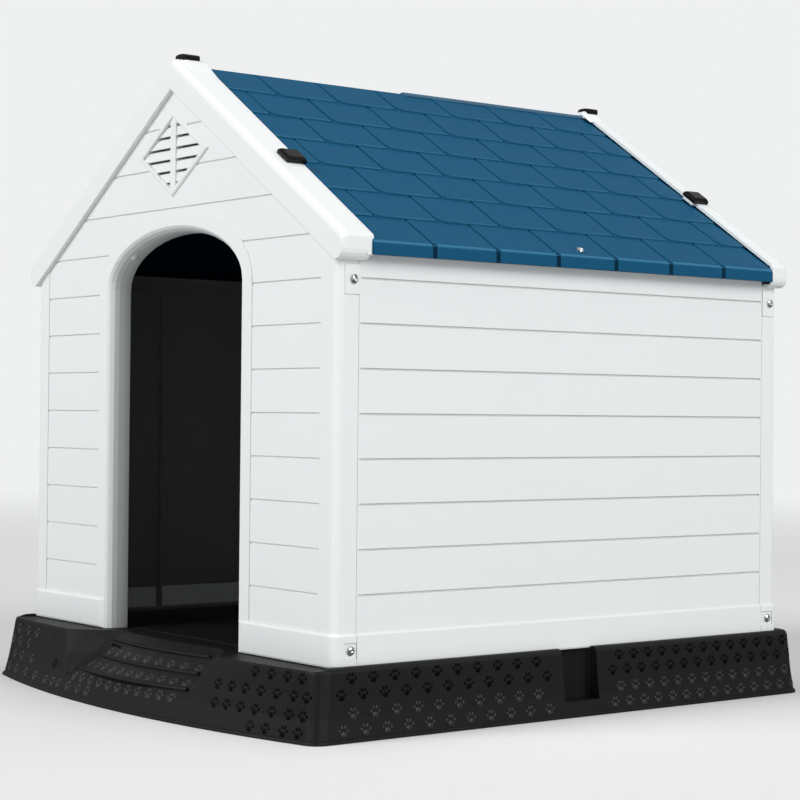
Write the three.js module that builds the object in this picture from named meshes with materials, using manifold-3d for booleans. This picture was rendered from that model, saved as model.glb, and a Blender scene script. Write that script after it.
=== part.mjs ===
// Plastic dog house: four moulded wall panels and two shingled roof panels on a one-piece base.
// Millimetres, +Z up. The front faces -Y. Inside the house group, y = 0 is the front board plane.
import * as THREE from 'three';
import { mergeVertices } from 'three/addons/utils/BufferGeometryUtils.js';
import Module from 'manifold-3d';

const wasm = await Module();
wasm.setup();

// ---------------------------------------------------------------- driving dimensions
const HOUSE_WIDTH = 615; // over the side boards
const HOUSE_DEPTH = 628; // front boards to back boards
const ROOF_PITCH = THREE.MathUtils.degToRad(33.3);
const RAKE_APEX_HEIGHT = 669; // inner edge of the rakes, on the centre line
const SKIN = 3.5; // wall thickness of every moulding
const FIT = 0.3; // clearance between two mouldings that touch

const BOARD_PITCH = 44.4;
const LOWEST_BOARD_LINE = 139;
const BOARD_LINE_WIDTH = 2;
const BOARD_LINE_DEPTH = 1.4;
const FRONT_CORNER_RADIUS = 9;
const BACK_CORNER_RADIUS = 4;
const SKIRT_HEIGHT = 33.5;
const SKIRT_PROUD = 2;
const SKIRT_EDGE = 2.4; // rounding of the skirt's two long edges

const FRONT_RETURN = 26.6; // depth of the front panel's side flanges
const BACK_RETURN = 23.1;
const FIELD_BORDER = 27; // plain band beside the boards
const FIELD_DEPTH = 0.8; // the boards lie this much below the band
const FIELD_TOP_BORDER = 1.5; // plain strip under the rakes

const DOOR_HALF_WIDTH = 133;
const DOOR_SPRING_HEIGHT = 455;
const DOOR_ARCH_RISE = 58;
const DOOR_EDGE_RADIUS = 14;
const DOOR_BORDER = 25;

const VENT_HALF_WIDTH = 62;
const VENT_HALF_HEIGHT = 40.5;
const VENT_HEIGHT = 598.5; // centre of the vent
const VENT_RIM_WIDTH = 5.5;
const VENT_RIM_PROUD = 1.5;
const VENT_DEPTH = 9;
const SLAT_PITCH = 12.64;
const SLAT_COUNT = 7;
const SLAT_THICKNESS = 2.5;
const VENT_BAR_WIDTH = 11;

const RAKE_DEPTH = 29; // height of the rake face, square to the slope
const RAKE_PROUD = 4.4;
const FRONT_RAKE_WIDTH = 30; // from the board plane to the rake's roof-side edge
const BACK_RAKE_WIDTH = 22;
const RAKE_END = 322; // half-width over the rake ends
const RAKE_END_RADIUS = 10;
const RAKE_EDGE = 7; // rounding between the rake face and its top
const APEX_FLAT = 3; // half-width of the flattened apex
const SEAT_DEPTH = 50; // how far the roof seat reaches in from the board plane
const SEAT_HALF_WIDTH = 276;
const SEAT_THICKNESS = 4;

const SIDE_FLANGE_WIDTH = 27; // inward flange that carries the eave
const SIDE_RIB_PITCH = 145;
const SIDE_RIB_COUNT = 3;
const SIDE_RIB_DEPTH = 8;
const SIDE_RIB_THICKNESS = 3;
const FOOT_FLANGE_WIDTH = 16;
const LAP_LENGTH = 17.5; // side panel tongue behind a return flange

const ROOF_TOP = 23.4; // shingle surface above the inner rake edge, square to the slope
const ROOF_SKIN = 3;
const EAVE_END = 323.5; // half-width over the drip edges
const DRIP_HEIGHT = 10.5;
const COURSE_LENGTH = 55.9;
const COURSE_COUNT = 7;
const COURSE_STEP = 2;
const SHINGLE_WIDTH = 83;
const SHINGLE_SLOT = 2.2;
const SHINGLE_SLOT_DEPTH = 2;
const ROOF_RIB_PITCH = 140;
const EAVE_RIB_SLOPE_POSITION = 343;
const TONGUE_TOP = 22;
const TONGUE_THICKNESS = 2.6;
const TONGUE_LENGTH = 20;
const LAP_LIP_WIDTH = 12;
const LAP_LIP_THICKNESS = 2.6;
const RIDGE_GAP = 0.3;

const BASE_HEIGHT = 68.5; // floor inside the walls and ledge in front of them
const BASE_RIM_RISE = 2.5; // rim beside and behind the walls above the floor
const BASE_RIM_EDGE = 5;
const BASE_RIM_GAP = 0.8; // between the rim and the skirts of the walls
const BASE_SIDE_REACH = 21.5; // beyond the side boards
const BASE_FRONT_REACH = 76.5; // beyond the front boards, on the centre line
const BASE_CORNER_REACH = 35.5; // beyond the front boards, at the front corners
const BASE_BACK_REACH = 27;
const BASE_CORNER_RADIUS = 18;
const RIM_START = 18; // the rim starts this far before the front boards
const RIM_SLOPE = 12;
const RAMP_HALF_WIDTH = 98; // at the floor
const BASE_LIP_HEIGHT = 3;
const BASE_LIP_PROUD = 1.5;
const BASE_SIDE_DRAFT = 12;
const BASE_FRONT_DRAFT = 36;
const BASE_CORNER_DRAFT = 10;
const BASE_BACK_DRAFT = 3;
const BASE_RIB_THICKNESS = 3;
const BASE_RIB_CLEARANCE = 6; // ribs end this far above the ground
const BASE_RIB_COLUMNS = 1;
const BASE_RIB_ROWS = 2;

const NOTCH_HALF_WIDTH = 24.5;
const NOTCH_FLOOR = 16;
const NOTCH_RADIUS = 14;
const NOTCH_DEPTH = 28; // in from the foot of the base

const CLIP_LENGTH = 22; // along the slope
const CLIP_WIDTH = 24;
const CLIP_HEIGHT = 6.4;
const CLIP_BEVEL = 2.6;
const CLIP_SLOPE_POSITION = 211;
const FRONT_CLIP_CENTRE = 24; // behind the board plane
const BACK_CLIP_CENTRE = 16;
const CLIP_SHANK = 8;
const CLIP_BARB = 1.2;
const CLIP_BARB_LENGTH = 5.5;

const SCREW_HEAD_RADIUS = 4.5;
const SCREW_HEAD_HEIGHT = 3;
const SCREW_RADIUS = 2;
const SCREW_PAD = 15;
const SCREW_PAD_DEPTH = 1.2;
const LOW_SCREW_RISE = 16.9; // above the foot of the walls
const HIGH_SCREW_DROP = 18.3; // below the eaves
const FRONT_SCREW_INSET = 19.5;
const BACK_SCREW_INSET = 11.5;
const SCREW_BOSS = 11;
const SCREW_BOSS_LENGTH = 10;
const ROOF_SCREW_SLOPE_POSITION = 358.5;
const ROOF_SCREW_LENGTH = 34;
const ROOF_BOSS_RADIUS = 4;

// ---------------------------------------------------------------- derived sizes
const COS = Math.cos(ROOF_PITCH);
const SIN = Math.sin(ROOF_PITCH);
const TAN = SIN / COS;
const HALF = HOUSE_WIDTH / 2;
const WALL_BOTTOM = BASE_HEIGHT + FIT;
const SKIRT_TOP = WALL_BOTTOM + SKIRT_HEIGHT;
const SKIRT_HALF = HALF + SKIRT_PROUD;
const MID_DEPTH = HOUSE_DEPTH / 2;
const WALL_TOP = RAKE_APEX_HEIGHT - TAN * HALF; // where the inner rake edge meets the wall corner
const CORNER_SCREW_HEIGHTS = [WALL_BOTTOM + LOW_SCREW_RISE, WALL_TOP - HIGH_SCREW_DROP];
const BASE_HALF_WIDTH = HALF + BASE_SIDE_REACH;
const RIM_TOP = BASE_HEIGHT + BASE_RIM_RISE;
const HOLE_RADIUS = SCREW_RADIUS + FIT;
const TONGUE_INNER = HALF - SKIN - FIT; // outer face of the side panel's lap tongues
const CHANNEL_TOP = RAKE_DEPTH - SKIN;
const ROOF_START = FRONT_RAKE_WIDTH + 1;
const ROOF_FINISH = HOUSE_DEPTH - BACK_RAKE_WIDTH - 1;

// ---------------------------------------------------------------- materials
const plastic = (color, roughness) => new THREE.MeshStandardMaterial({ color, roughness, metalness: 0 });
const white = plastic(0xeef1f1, 0.45);
const blue = plastic(0x225a7b, 0.5);
const black = plastic(0x1b1b1c, 0.6);
const glossBlack = plastic(0x080808, 0.18);
const steel = new THREE.MeshStandardMaterial({ color: 0xc9ccce, roughness: 0.2, metalness: 1 });

// ---------------------------------------------------------------- solids
// An outline drawn in the plane across `axis` becomes [x, y, z] at distance `at` along that axis.
const place = {
  x: ([a, b], at) => [at, a, b],
  y: ([a, b], at) => [a, at, b],
  z: ([a, b], at) => [a, b, at],
};

const solidOf = (geometry) => {
  geometry.deleteAttribute('normal');
  geometry.deleteAttribute('uv');
  const merged = mergeVertices(geometry, 1e-4);
  const mesh = new wasm.Mesh({
    numProp: 3,
    vertProperties: new Float32Array(merged.attributes.position.array),
    triVerts: new Uint32Array(merged.index.array),
  });
  return new wasm.Manifold(mesh);
};

// Solid through closed outlines of equal point counts. Each ring is { at, points } with its points
// anticlockwise in the plane of `place[axis]`, and the rings follow one another along the axis.
const loft = (rings, axis) => {
  const count = rings[0].points.length;
  const flip = axis === 'y';
  const positions = rings.flatMap(({ at, points }) => points.flatMap((point) => place[axis](point, at)));
  const triangles = [];
  const addTriangle = (a, b, c) => triangles.push(...(flip ? [a, c, b] : [a, b, c]));
  for (let level = 0; level < rings.length - 1; level += 1) {
    for (let i = 0; i < count; i += 1) {
      const a = level * count + i;
      const b = level * count + ((i + 1) % count);
      addTriangle(a, b, b + count);
      addTriangle(a, b + count, a + count);
    }
  }
  const addCap = ({ points }, offset, facesForward) => {
    const contour = points.map(([a, b]) => new THREE.Vector2(a, b));
    THREE.ShapeUtils.triangulateShape(contour, []).forEach((corners) => {
      const [a, b, c] = corners.map((i) => offset + i);
      if (facesForward) addTriangle(a, b, c);
      else addTriangle(a, c, b);
    });
  };
  addCap(rings[0], 0, false);
  addCap(rings[rings.length - 1], (rings.length - 1) * count, true);
  const geometry = new THREE.BufferGeometry();
  geometry.setAttribute('position', new THREE.Float32BufferAttribute(positions, 3));
  geometry.setIndex(triangles);
  return solidOf(geometry);
};

const prism = (points, from, to, axis) => loft([{ at: from, points }, { at: to, points }], axis);

const box = (x0, x1, y0, y1, z0, z1) => prism([[x0, y0], [x1, y0], [x1, y1], [x0, y1]], z0, z1, 'z');

const unite = (solids) => solids.reduce((sum, next) => sum.add(next));

const moved = (solid, matrix) => {
  const { numProp, vertProperties, triVerts } = solid.getMesh();
  const positions = new Float32Array(vertProperties.length);
  const point = new THREE.Vector3();
  for (let i = 0; i < vertProperties.length; i += numProp) {
    point.fromArray(vertProperties, i).applyMatrix4(matrix).toArray(positions, i);
  }
  const indices = Uint32Array.from(triVerts);
  if (matrix.determinant() < 0) {
    for (let i = 0; i < indices.length; i += 3) {
      [indices[i + 1], indices[i + 2]] = [indices[i + 2], indices[i + 1]];
    }
  }
  return new wasm.Manifold(new wasm.Mesh({ numProp, vertProperties: positions, triVerts: indices }));
};

const mirroredLeft = (solid) => moved(solid, new THREE.Matrix4().makeScale(-1, 1, 1));

const turnedAround = (solid) => {
  const turn = new THREE.Matrix4().makeRotationZ(Math.PI);
  turn.setPosition(0, HOUSE_DEPTH, 0);
  return moved(solid, turn);
};

const cylinder = (radius, from, to, axis, [a, b], sides = 16) => {
  const step = (2 * Math.PI) / sides;
  const points = Array.from({ length: sides }, (_, i) => [
    a + radius * Math.cos(i * step),
    b + radius * Math.sin(i * step),
  ]);
  return prism(points, from, to, axis);
};

const arc = (centre, radius, fromDegrees, toDegrees, steps) => {
  const points = [];
  for (let i = 0; i <= steps; i += 1) {
    const angle = THREE.MathUtils.degToRad(fromDegrees + ((toDegrees - fromDegrees) * i) / steps);
    points.push([centre[0] + radius * Math.cos(angle), centre[1] + radius * Math.sin(angle)]);
  }
  return points;
};

// What differs between the two gable panels. Depths are from each panel's own board plane.
const FRONT_END = {
  hasDoor: true,
  depth: FRONT_RETURN,
  screwDepth: FRONT_SCREW_INSET,
  rakeWidth: FRONT_RAKE_WIDTH,
  clipCentre: FRONT_CLIP_CENTRE,
  cornerRadius: FRONT_CORNER_RADIUS,
};
const BACK_END = {
  hasDoor: false,
  depth: BACK_RETURN,
  screwDepth: BACK_SCREW_INSET,
  rakeWidth: BACK_RAKE_WIDTH,
  clipCentre: BACK_CLIP_CENTRE,
  cornerRadius: BACK_CORNER_RADIUS,
};

// ---------------------------------------------------------------- gable outlines, in x and z
// Height of the line that runs `offset` square above the inner rake edge.
const rakeHeight = (x, offset) => RAKE_APEX_HEIGHT + offset / COS - TAN * Math.abs(x);

const gable = (half, bottom, offset) => [
  [-half, bottom],
  [half, bottom],
  [half, rakeHeight(half, offset)],
  [0, rakeHeight(0, offset)],
  [-half, rakeHeight(half, offset)],
];

// Both rakes in one outline: under them the inner edge, over them a flattened apex.
const rakeOutline = (top, end) => {
  const corner = arc([end - RAKE_END_RADIUS, WALL_TOP + RAKE_END_RADIUS], RAKE_END_RADIUS, -90, 0, 4);
  const right = [
    [0, rakeHeight(0, 0)],
    [HALF, WALL_TOP],
    ...corner,
    [end, rakeHeight(end, top) - 3],
    [end - 3, rakeHeight(end - 3, top)],
    [APEX_FLAT, rakeHeight(APEX_FLAT, top)],
  ];
  const left = right.slice(1).reverse().map(([x, z]) => [-x, z]);
  return [...right, ...left];
};

const seatOutline = (half, low, high) => [
  [0, rakeHeight(0, low)],
  [half, rakeHeight(half, low)],
  [half, rakeHeight(half, high)],
  [0, rakeHeight(0, high)],
  [-half, rakeHeight(half, high)],
  [-half, rakeHeight(half, low)],
];

const channelOutline = (low) => {
  const end = RAKE_END - SKIN;
  const floor = WALL_TOP + SKIN;
  const meet = (rakeHeight(0, low) - floor) / TAN;
  const right = [
    [0, rakeHeight(0, low)],
    [meet, floor],
    [end, floor],
    [end, rakeHeight(end, CHANNEL_TOP)],
    [APEX_FLAT, rakeHeight(APEX_FLAT, CHANNEL_TOP)],
  ];
  const left = right.slice(1).reverse().map(([x, z]) => [-x, z]);
  return [...right, ...left];
};

const doorOutline = (grow) => {
  const half = DOOR_HALF_WIDTH + grow;
  const rise = DOOR_ARCH_RISE + grow;
  const arch = arc([0, 0], 1, 0, 180, 20).map(([c, s]) => [half * c, DOOR_SPRING_HEIGHT + rise * s]);
  return [[-half, WALL_BOTTOM - 10], [half, WALL_BOTTOM - 10], ...arch];
};

const ventOutline = (grow) => {
  const side = Math.hypot(VENT_HALF_WIDTH, VENT_HALF_HEIGHT);
  const half = VENT_HALF_WIDTH + (grow * side) / VENT_HALF_HEIGHT;
  const rise = VENT_HALF_HEIGHT + (grow * side) / VENT_HALF_WIDTH;
  return [[0, VENT_HEIGHT - rise], [half, VENT_HEIGHT], [0, VENT_HEIGHT + rise], [-half, VENT_HEIGHT]];
};

// The doorway, flared at the front by the rounding of its edge, which starts at the skirt's face.
const doorSolid = (grow, back) => {
  const rings = [{ at: -SKIRT_PROUD - 4, points: doorOutline(grow + DOOR_EDGE_RADIUS) }];
  [0, 0.04, 0.12, 0.3, 0.6, 1].forEach((share) => {
    const behind = DOOR_EDGE_RADIUS * (1 - share);
    const flare = DOOR_EDGE_RADIUS - Math.sqrt(DOOR_EDGE_RADIUS ** 2 - behind ** 2);
    rings.push({ at: DOOR_EDGE_RADIUS * share - SKIRT_PROUD, points: doorOutline(grow + flare) });
  });
  rings.push({ at: back, points: doorOutline(grow) });
  return loft(rings, 'y');
};

// ---------------------------------------------------------------- shared cutters and details
// Point `s` down the right-hand slope and `d` square above the inner rake edge, as [x, z].
const onSlope = ([s, d]) => [s * COS + d * SIN, RAKE_APEX_HEIGHT - s * SIN + d * COS];

const slopePrism = (points, from, to) => prism(points.map(onSlope), from, to, 'y');

const slopeBox = (s0, s1, d0, d1, y0, y1) => slopePrism([[s0, d0], [s1, d0], [s1, d1], [s0, d1]], y0, y1);

const onBothSides = (solid) => solid.add(mirroredLeft(solid));

const apexBand = (half, low, high) => {
  const top = [half, APEX_FLAT, -APEX_FLAT, -half].map((x) => [x, rakeHeight(x, high)]);
  const under = [-half, -APEX_FLAT, APEX_FLAT, half].map((x) => [x, rakeHeight(x, low)]);
  return [...under, ...top];
};

// Square holes for the shanks of the three clips at one end.
const clipHoles = (clipCentre) => {
  const half = CLIP_SHANK / 2 + FIT;
  const y0 = clipCentre - half;
  const y1 = clipCentre + half;
  const slope = slopeBox(CLIP_SLOPE_POSITION - half, CLIP_SLOPE_POSITION + half, 0, RAKE_DEPTH + 5, y0, y1);
  const apex = box(-half, half, y0, y1, rakeHeight(0, SKIN), rakeHeight(0, RAKE_DEPTH) + 5);
  return onBothSides(slope).add(apex);
};

// Hole for the screw that ties the right-hand roof panel to the side panel under it.
const roofScrewHole = () => {
  const hole = cylinder(HOLE_RADIUS, -ROOF_SCREW_LENGTH, SCREW_HEAD_HEIGHT, 'z', [0, 0], 12);
  const seat = onSlope([ROOF_SCREW_SLOPE_POSITION, ROOF_TOP]);
  const turn = new THREE.Matrix4().makeRotationY(ROOF_PITCH);
  turn.setPosition(seat[0], MID_DEPTH, seat[1]);
  return moved(hole, turn);
};

const cornerScrewHoles = (depth) => unite(CORNER_SCREW_HEIGHTS.map((height) => (
  cylinder(HOLE_RADIUS, HALF - 30, HALF + 5, 'x', [depth, height], 12)
)));

// ---------------------------------------------------------------- gable panels
const wallBlock = ({ depth, cornerRadius }) => {
  const rings = [0, 22.5, 45, 67.5, 90].map((degrees) => {
    const angle = THREE.MathUtils.degToRad(degrees);
    const inset = cornerRadius * (1 - Math.sin(angle));
    const at = cornerRadius * (1 - Math.cos(angle));
    return { at, points: gable(HALF - inset, WALL_BOTTOM + SKIRT_EDGE, 1) };
  });
  rings.push({ at: depth, points: gable(HALF, WALL_BOTTOM + SKIRT_EDGE, 1) });
  return loft(rings, 'y');
};

// Half-widths of the skirt's rounded long edges, as [height, inset] from the bottom up.
const skirtSection = () => [
  [WALL_BOTTOM, SKIRT_EDGE],
  [WALL_BOTTOM + SKIRT_EDGE * 0.3, SKIRT_EDGE * 0.3],
  [WALL_BOTTOM + SKIRT_EDGE, 0],
  [SKIRT_TOP - SKIRT_EDGE, 0],
  [SKIRT_TOP - SKIRT_EDGE * 0.3, SKIRT_PROUD * 0.4],
  [SKIRT_TOP, SKIRT_PROUD + 0.1],
];

const skirtBlock = ({ depth, cornerRadius: radius }) => {
  const plan = (inset) => {
    const half = SKIRT_HALF - inset;
    const centre = inset - SKIRT_PROUD + radius;
    return [
      ...arc([-half + radius, centre], radius, 180, 270, 4),
      ...arc([half - radius, centre], radius, 270, 360, 4),
      [half, depth],
      [-half, depth],
    ];
  };
  return loft(skirtSection().map(([at, inset]) => ({ at, points: plan(inset) })), 'z');
};

const rakeBlock = (rakeWidth) => {
  const rings = [0, 30, 60, 90].map((degrees) => {
    const angle = THREE.MathUtils.degToRad(degrees);
    const drop = RAKE_EDGE * (1 - Math.sin(angle));
    return {
      at: -RAKE_PROUD + RAKE_EDGE * (1 - Math.cos(angle)),
      points: rakeOutline(RAKE_DEPTH - drop, RAKE_END - drop / 3),
    };
  });
  rings.push({ at: rakeWidth, points: rakeOutline(RAKE_DEPTH, RAKE_END) });
  return loft(rings, 'y');
};

const ventRim = () => loft([
  { at: -VENT_RIM_PROUD, points: ventOutline(VENT_RIM_WIDTH - VENT_RIM_PROUD) },
  { at: 0, points: ventOutline(VENT_RIM_WIDTH) },
  { at: SKIN, points: ventOutline(VENT_RIM_WIDTH) },
  { at: VENT_DEPTH, points: ventOutline(SKIN) },
], 'y');

// Slats lean back and up, each ending behind the lower edge of the next, with a bar down the middle.
const louvre = () => {
  const lowest = VENT_HEIGHT - (SLAT_COUNT / 2) * SLAT_PITCH;
  const reach = VENT_HALF_WIDTH + SKIN;
  const back = VENT_DEPTH - 0.5;
  const slats = Array.from({ length: SLAT_COUNT }, (_, i) => {
    const low = lowest + i * SLAT_PITCH + 0.8;
    const high = lowest + (i + 1) * SLAT_PITCH + 0.2;
    const section = [[0.6, low], [0.6 + SLAT_THICKNESS, low], [back, high], [back - SLAT_THICKNESS, high]];
    return prism(section, -reach, reach, 'x');
  });
  const half = VENT_BAR_WIDTH / 2;
  const bar = box(-half, half, 0, VENT_DEPTH, VENT_HEIGHT - reach, VENT_HEIGHT + reach);
  const opening = prism(ventOutline(SKIN / 2), -1, VENT_DEPTH, 'y');
  return unite([...slats, bar]).intersect(opening);
};

const boardLineHeights = (top) => {
  const count = Math.floor((top - LOWEST_BOARD_LINE) / BOARD_PITCH) + 1;
  return Array.from({ length: count }, (_, i) => LOWEST_BOARD_LINE + i * BOARD_PITCH);
};

const gableBoards = (hasDoor) => {
  const half = HALF - FIELD_BORDER;
  const field = (depth) => {
    const whole = prism(gable(half, SKIRT_TOP + 1, -FIELD_TOP_BORDER), -1, depth, 'y');
    const cut = whole.subtract(prism(ventOutline(VENT_RIM_WIDTH), -2, depth + 1, 'y'));
    return hasDoor ? cut.subtract(prism(doorOutline(DOOR_BORDER), -2, depth + 1, 'y')) : cut;
  };
  const depth = FIELD_DEPTH + BOARD_LINE_DEPTH;
  const lines = boardLineHeights(RAKE_APEX_HEIGHT).map((height) => (
    box(-half, half, -1, depth, height - BOARD_LINE_WIDTH / 2, height + BOARD_LINE_WIDTH / 2)
  ));
  return field(FIELD_DEPTH).add(unite(lines).intersect(field(depth)));
};

const screwPads = ({ depth, screwDepth, cornerRadius }) => {
  const [low, high] = CORNER_SCREW_HEIGHTS;
  const recess = box(SKIRT_HALF - SCREW_PAD_DEPTH, SKIRT_HALF + 1, screwDepth - SCREW_PAD / 2, depth + 1,
    low - SCREW_PAD / 2, low + SCREW_PAD / 2);
  const raised = box(HALF - 1, HALF + SCREW_PAD_DEPTH * 0.7, cornerRadius, depth,
    high - SCREW_PAD, WALL_TOP - SKIN);
  return { recess: onBothSides(recess), raised: onBothSides(raised) };
};

const gablePanel = (end) => {
  const { hasDoor, depth, screwDepth, rakeWidth, clipCentre } = end;
  let cavity = prism(gable(HALF - SKIN, WALL_BOTTOM + SKIN, -SKIN), SKIN, depth + 1, 'y');
  cavity = cavity.subtract(prism(ventOutline(SKIN), 0, VENT_DEPTH, 'y'));
  if (hasDoor) cavity = cavity.subtract(doorSolid(SKIN, depth + 2));
  const channel = prism(channelOutline(SKIN), SKIN - RAKE_PROUD, SKIN + 1, 'y')
    .add(prism(channelOutline(0), SKIN, SEAT_DEPTH + 1, 'y'));
  const seat = prism(seatOutline(SEAT_HALF_WIDTH, -SEAT_THICKNESS, 1), SKIN - 1, SEAT_DEPTH, 'y');
  const earEnd = clipCentre + CLIP_WIDTH / 2 - 1;
  const ears = onBothSides(slopeBox(
    CLIP_SLOPE_POSITION - CLIP_LENGTH / 2 + 2, CLIP_SLOPE_POSITION + CLIP_LENGTH / 2 - 2,
    CHANNEL_TOP, RAKE_DEPTH, rakeWidth - 1, earEnd,
  )).add(prism(apexBand(CLIP_LENGTH / 2 - 2, CHANNEL_TOP, RAKE_DEPTH), rakeWidth - 1, earEnd, 'y'));
  const pads = screwPads(end);
  let panel = unite([wallBlock(end), skirtBlock(end), rakeBlock(rakeWidth), ventRim(), pads.raised])
    .subtract(cavity)
    .add(seat)
    .subtract(channel)
    .add(ears)
    .subtract(prism(ventOutline(0), -RAKE_PROUD, VENT_DEPTH + 1, 'y'))
    .add(louvre())
    .subtract(gableBoards(hasDoor))
    .subtract(pads.recess)
    .subtract(onBothSides(cornerScrewHoles(screwDepth)))
    .subtract(clipHoles(clipCentre));
  if (hasDoor) panel = panel.subtract(doorSolid(0, depth + 1));
  return panel;
};

// ---------------------------------------------------------------- side panel, right-hand
const sidePanel = () => {
  const y0 = FRONT_RETURN + FIT;
  const y1 = HOUSE_DEPTH - BACK_RETURN - FIT;
  const inner = HALF - SKIN;
  const skirtInner = SKIRT_HALF - SKIN;
  const under = (x, low) => [x, rakeHeight(x, low)];
  const skin = [[inner, SKIRT_TOP - SKIN], [HALF, SKIRT_TOP - SKIN], under(HALF, -FIT), under(inner, -FIT)];
  const flangeInner = HALF - SIDE_FLANGE_WIDTH;
  const flange = [
    under(flangeInner, -FIT - SKIN), under(HALF, -FIT - SKIN), under(HALF, -FIT), under(flangeInner, -FIT),
  ];
  const skirt = [
    [skirtInner, WALL_BOTTOM],
    ...skirtSection().map(([height, inset]) => [SKIRT_HALF - inset, height]),
    [inner, SKIRT_TOP],
    [inner, SKIRT_TOP - SKIN],
    [skirtInner, SKIRT_TOP - SKIN - SKIRT_PROUD],
  ];
  const pieces = [skin, flange, skirt].map((section) => prism(section, y0, y1, 'y'));
  pieces.push(box(HALF - FOOT_FLANGE_WIDTH, skirtInner + 1, y0, y1, WALL_BOTTOM, WALL_BOTTOM + SKIN));

  const ribInner = inner - SIDE_RIB_DEPTH;
  const rib = [
    [ribInner, WALL_BOTTOM + 1], [skirtInner + 1, WALL_BOTTOM + 1], [skirtInner + 1, SKIRT_TOP - SKIN],
    [inner + 1, SKIRT_TOP], under(inner + 1, -SKIN / 2), under(ribInner, -SKIN / 2),
  ];
  for (let i = 0; i < SIDE_RIB_COUNT; i += 1) {
    const centre = MID_DEPTH + (i - (SIDE_RIB_COUNT - 1) / 2) * SIDE_RIB_PITCH;
    pieces.push(prism(rib, centre - SIDE_RIB_THICKNESS / 2, centre + SIDE_RIB_THICKNESS / 2, 'y'));
  }

  // Tongues that lie behind the return flanges of the gable panels, with a boss for each screw.
  const [lowScrew, highScrew] = CORNER_SCREW_HEIGHTS;
  const tongueInner = TONGUE_INNER - SKIN;
  const tongueBottom = WALL_BOTTOM + SKIN + FIT;
  const tongueTop = highScrew + SCREW_BOSS / 2 + 1;
  const ends = [
    { seam: y0, inward: 1, screw: FRONT_SCREW_INSET },
    { seam: y1, inward: -1, screw: HOUSE_DEPTH - BACK_SCREW_INSET },
  ];
  ends.forEach(({ seam, inward, screw }) => {
    const between = (a, b, x0, x1, z0, z1) => box(x0, x1, Math.min(a, b), Math.max(a, b), z0, z1);
    const outer = seam - inward * LAP_LENGTH;
    const root = seam + inward * SKIN;
    pieces.push(between(outer, root, tongueInner, TONGUE_INNER, tongueBottom, tongueTop));
    pieces.push(between(seam, root, tongueInner, skirtInner + 1, tongueBottom, SKIRT_TOP - SKIN));
    pieces.push(between(seam, root, tongueInner, inner + 1, SKIRT_TOP - SKIN - 1, tongueTop));
    [lowScrew, highScrew].forEach((height) => {
      pieces.push(box(tongueInner - SCREW_BOSS_LENGTH, tongueInner + 1, screw - SCREW_BOSS / 2,
        screw + SCREW_BOSS / 2, height - SCREW_BOSS / 2, height + SCREW_BOSS / 2));
    });
  });

  const lines = boardLineHeights(WALL_TOP).map((height) => (
    box(HALF - BOARD_LINE_DEPTH, HALF + 1, y0 + 2, y1 - 2, height - BOARD_LINE_WIDTH / 2,
      height + BOARD_LINE_WIDTH / 2)
  ));
  return unite(pieces)
    .subtract(unite(lines))
    .subtract(cornerScrewHoles(FRONT_SCREW_INSET))
    .subtract(cornerScrewHoles(HOUSE_DEPTH - BACK_SCREW_INSET))
    .subtract(roofScrewHole());
};

// ---------------------------------------------------------------- roof panel, right-hand
const EAVE_SLOPE_POSITION = (EAVE_END - ROOF_TOP * SIN) / COS;
const courseEdge = (course) => EAVE_SLOPE_POSITION - course * COURSE_LENGTH;
const HALF_STEP = COURSE_STEP / 2;
const ROOF_UNDERSIDE = ROOF_TOP - HALF_STEP - ROOF_SKIN;
const RIDGE_X = RIDGE_GAP / 2;
const DRIP_TOP = rakeHeight(EAVE_END, ROOF_TOP) - ROOF_SKIN / 2;
const DRIP_BOTTOM = DRIP_TOP - DRIP_HEIGHT;

const roofBand = (inner, outer, low, high) => [
  [inner, rakeHeight(inner, low)],
  [outer, rakeHeight(outer, low)],
  [outer, rakeHeight(outer, high)],
  [inner, rakeHeight(inner, high)],
];

// The shingled skin: each course drops a step to the next, and the last one turns down as a drip edge.
const roofSection = () => {
  const dripInner = EAVE_END - ROOF_SKIN;
  const points = [
    [dripInner, DRIP_BOTTOM],
    [EAVE_END, DRIP_BOTTOM],
    [EAVE_END, DRIP_TOP],
    [dripInner, rakeHeight(dripInner, ROOF_TOP + HALF_STEP)],
  ];
  for (let course = 1; course < COURSE_COUNT; course += 1) {
    points.push(onSlope([courseEdge(course), ROOF_TOP - HALF_STEP]));
    points.push(onSlope([courseEdge(course), ROOF_TOP + HALF_STEP]));
  }
  points.push([RIDGE_X, rakeHeight(RIDGE_X, ROOF_TOP - HALF_STEP)]);
  points.push([RIDGE_X, rakeHeight(RIDGE_X, ROOF_UNDERSIDE)]);
  points.push([dripInner, rakeHeight(dripInner, ROOF_UNDERSIDE)]);
  return points;
};

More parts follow.
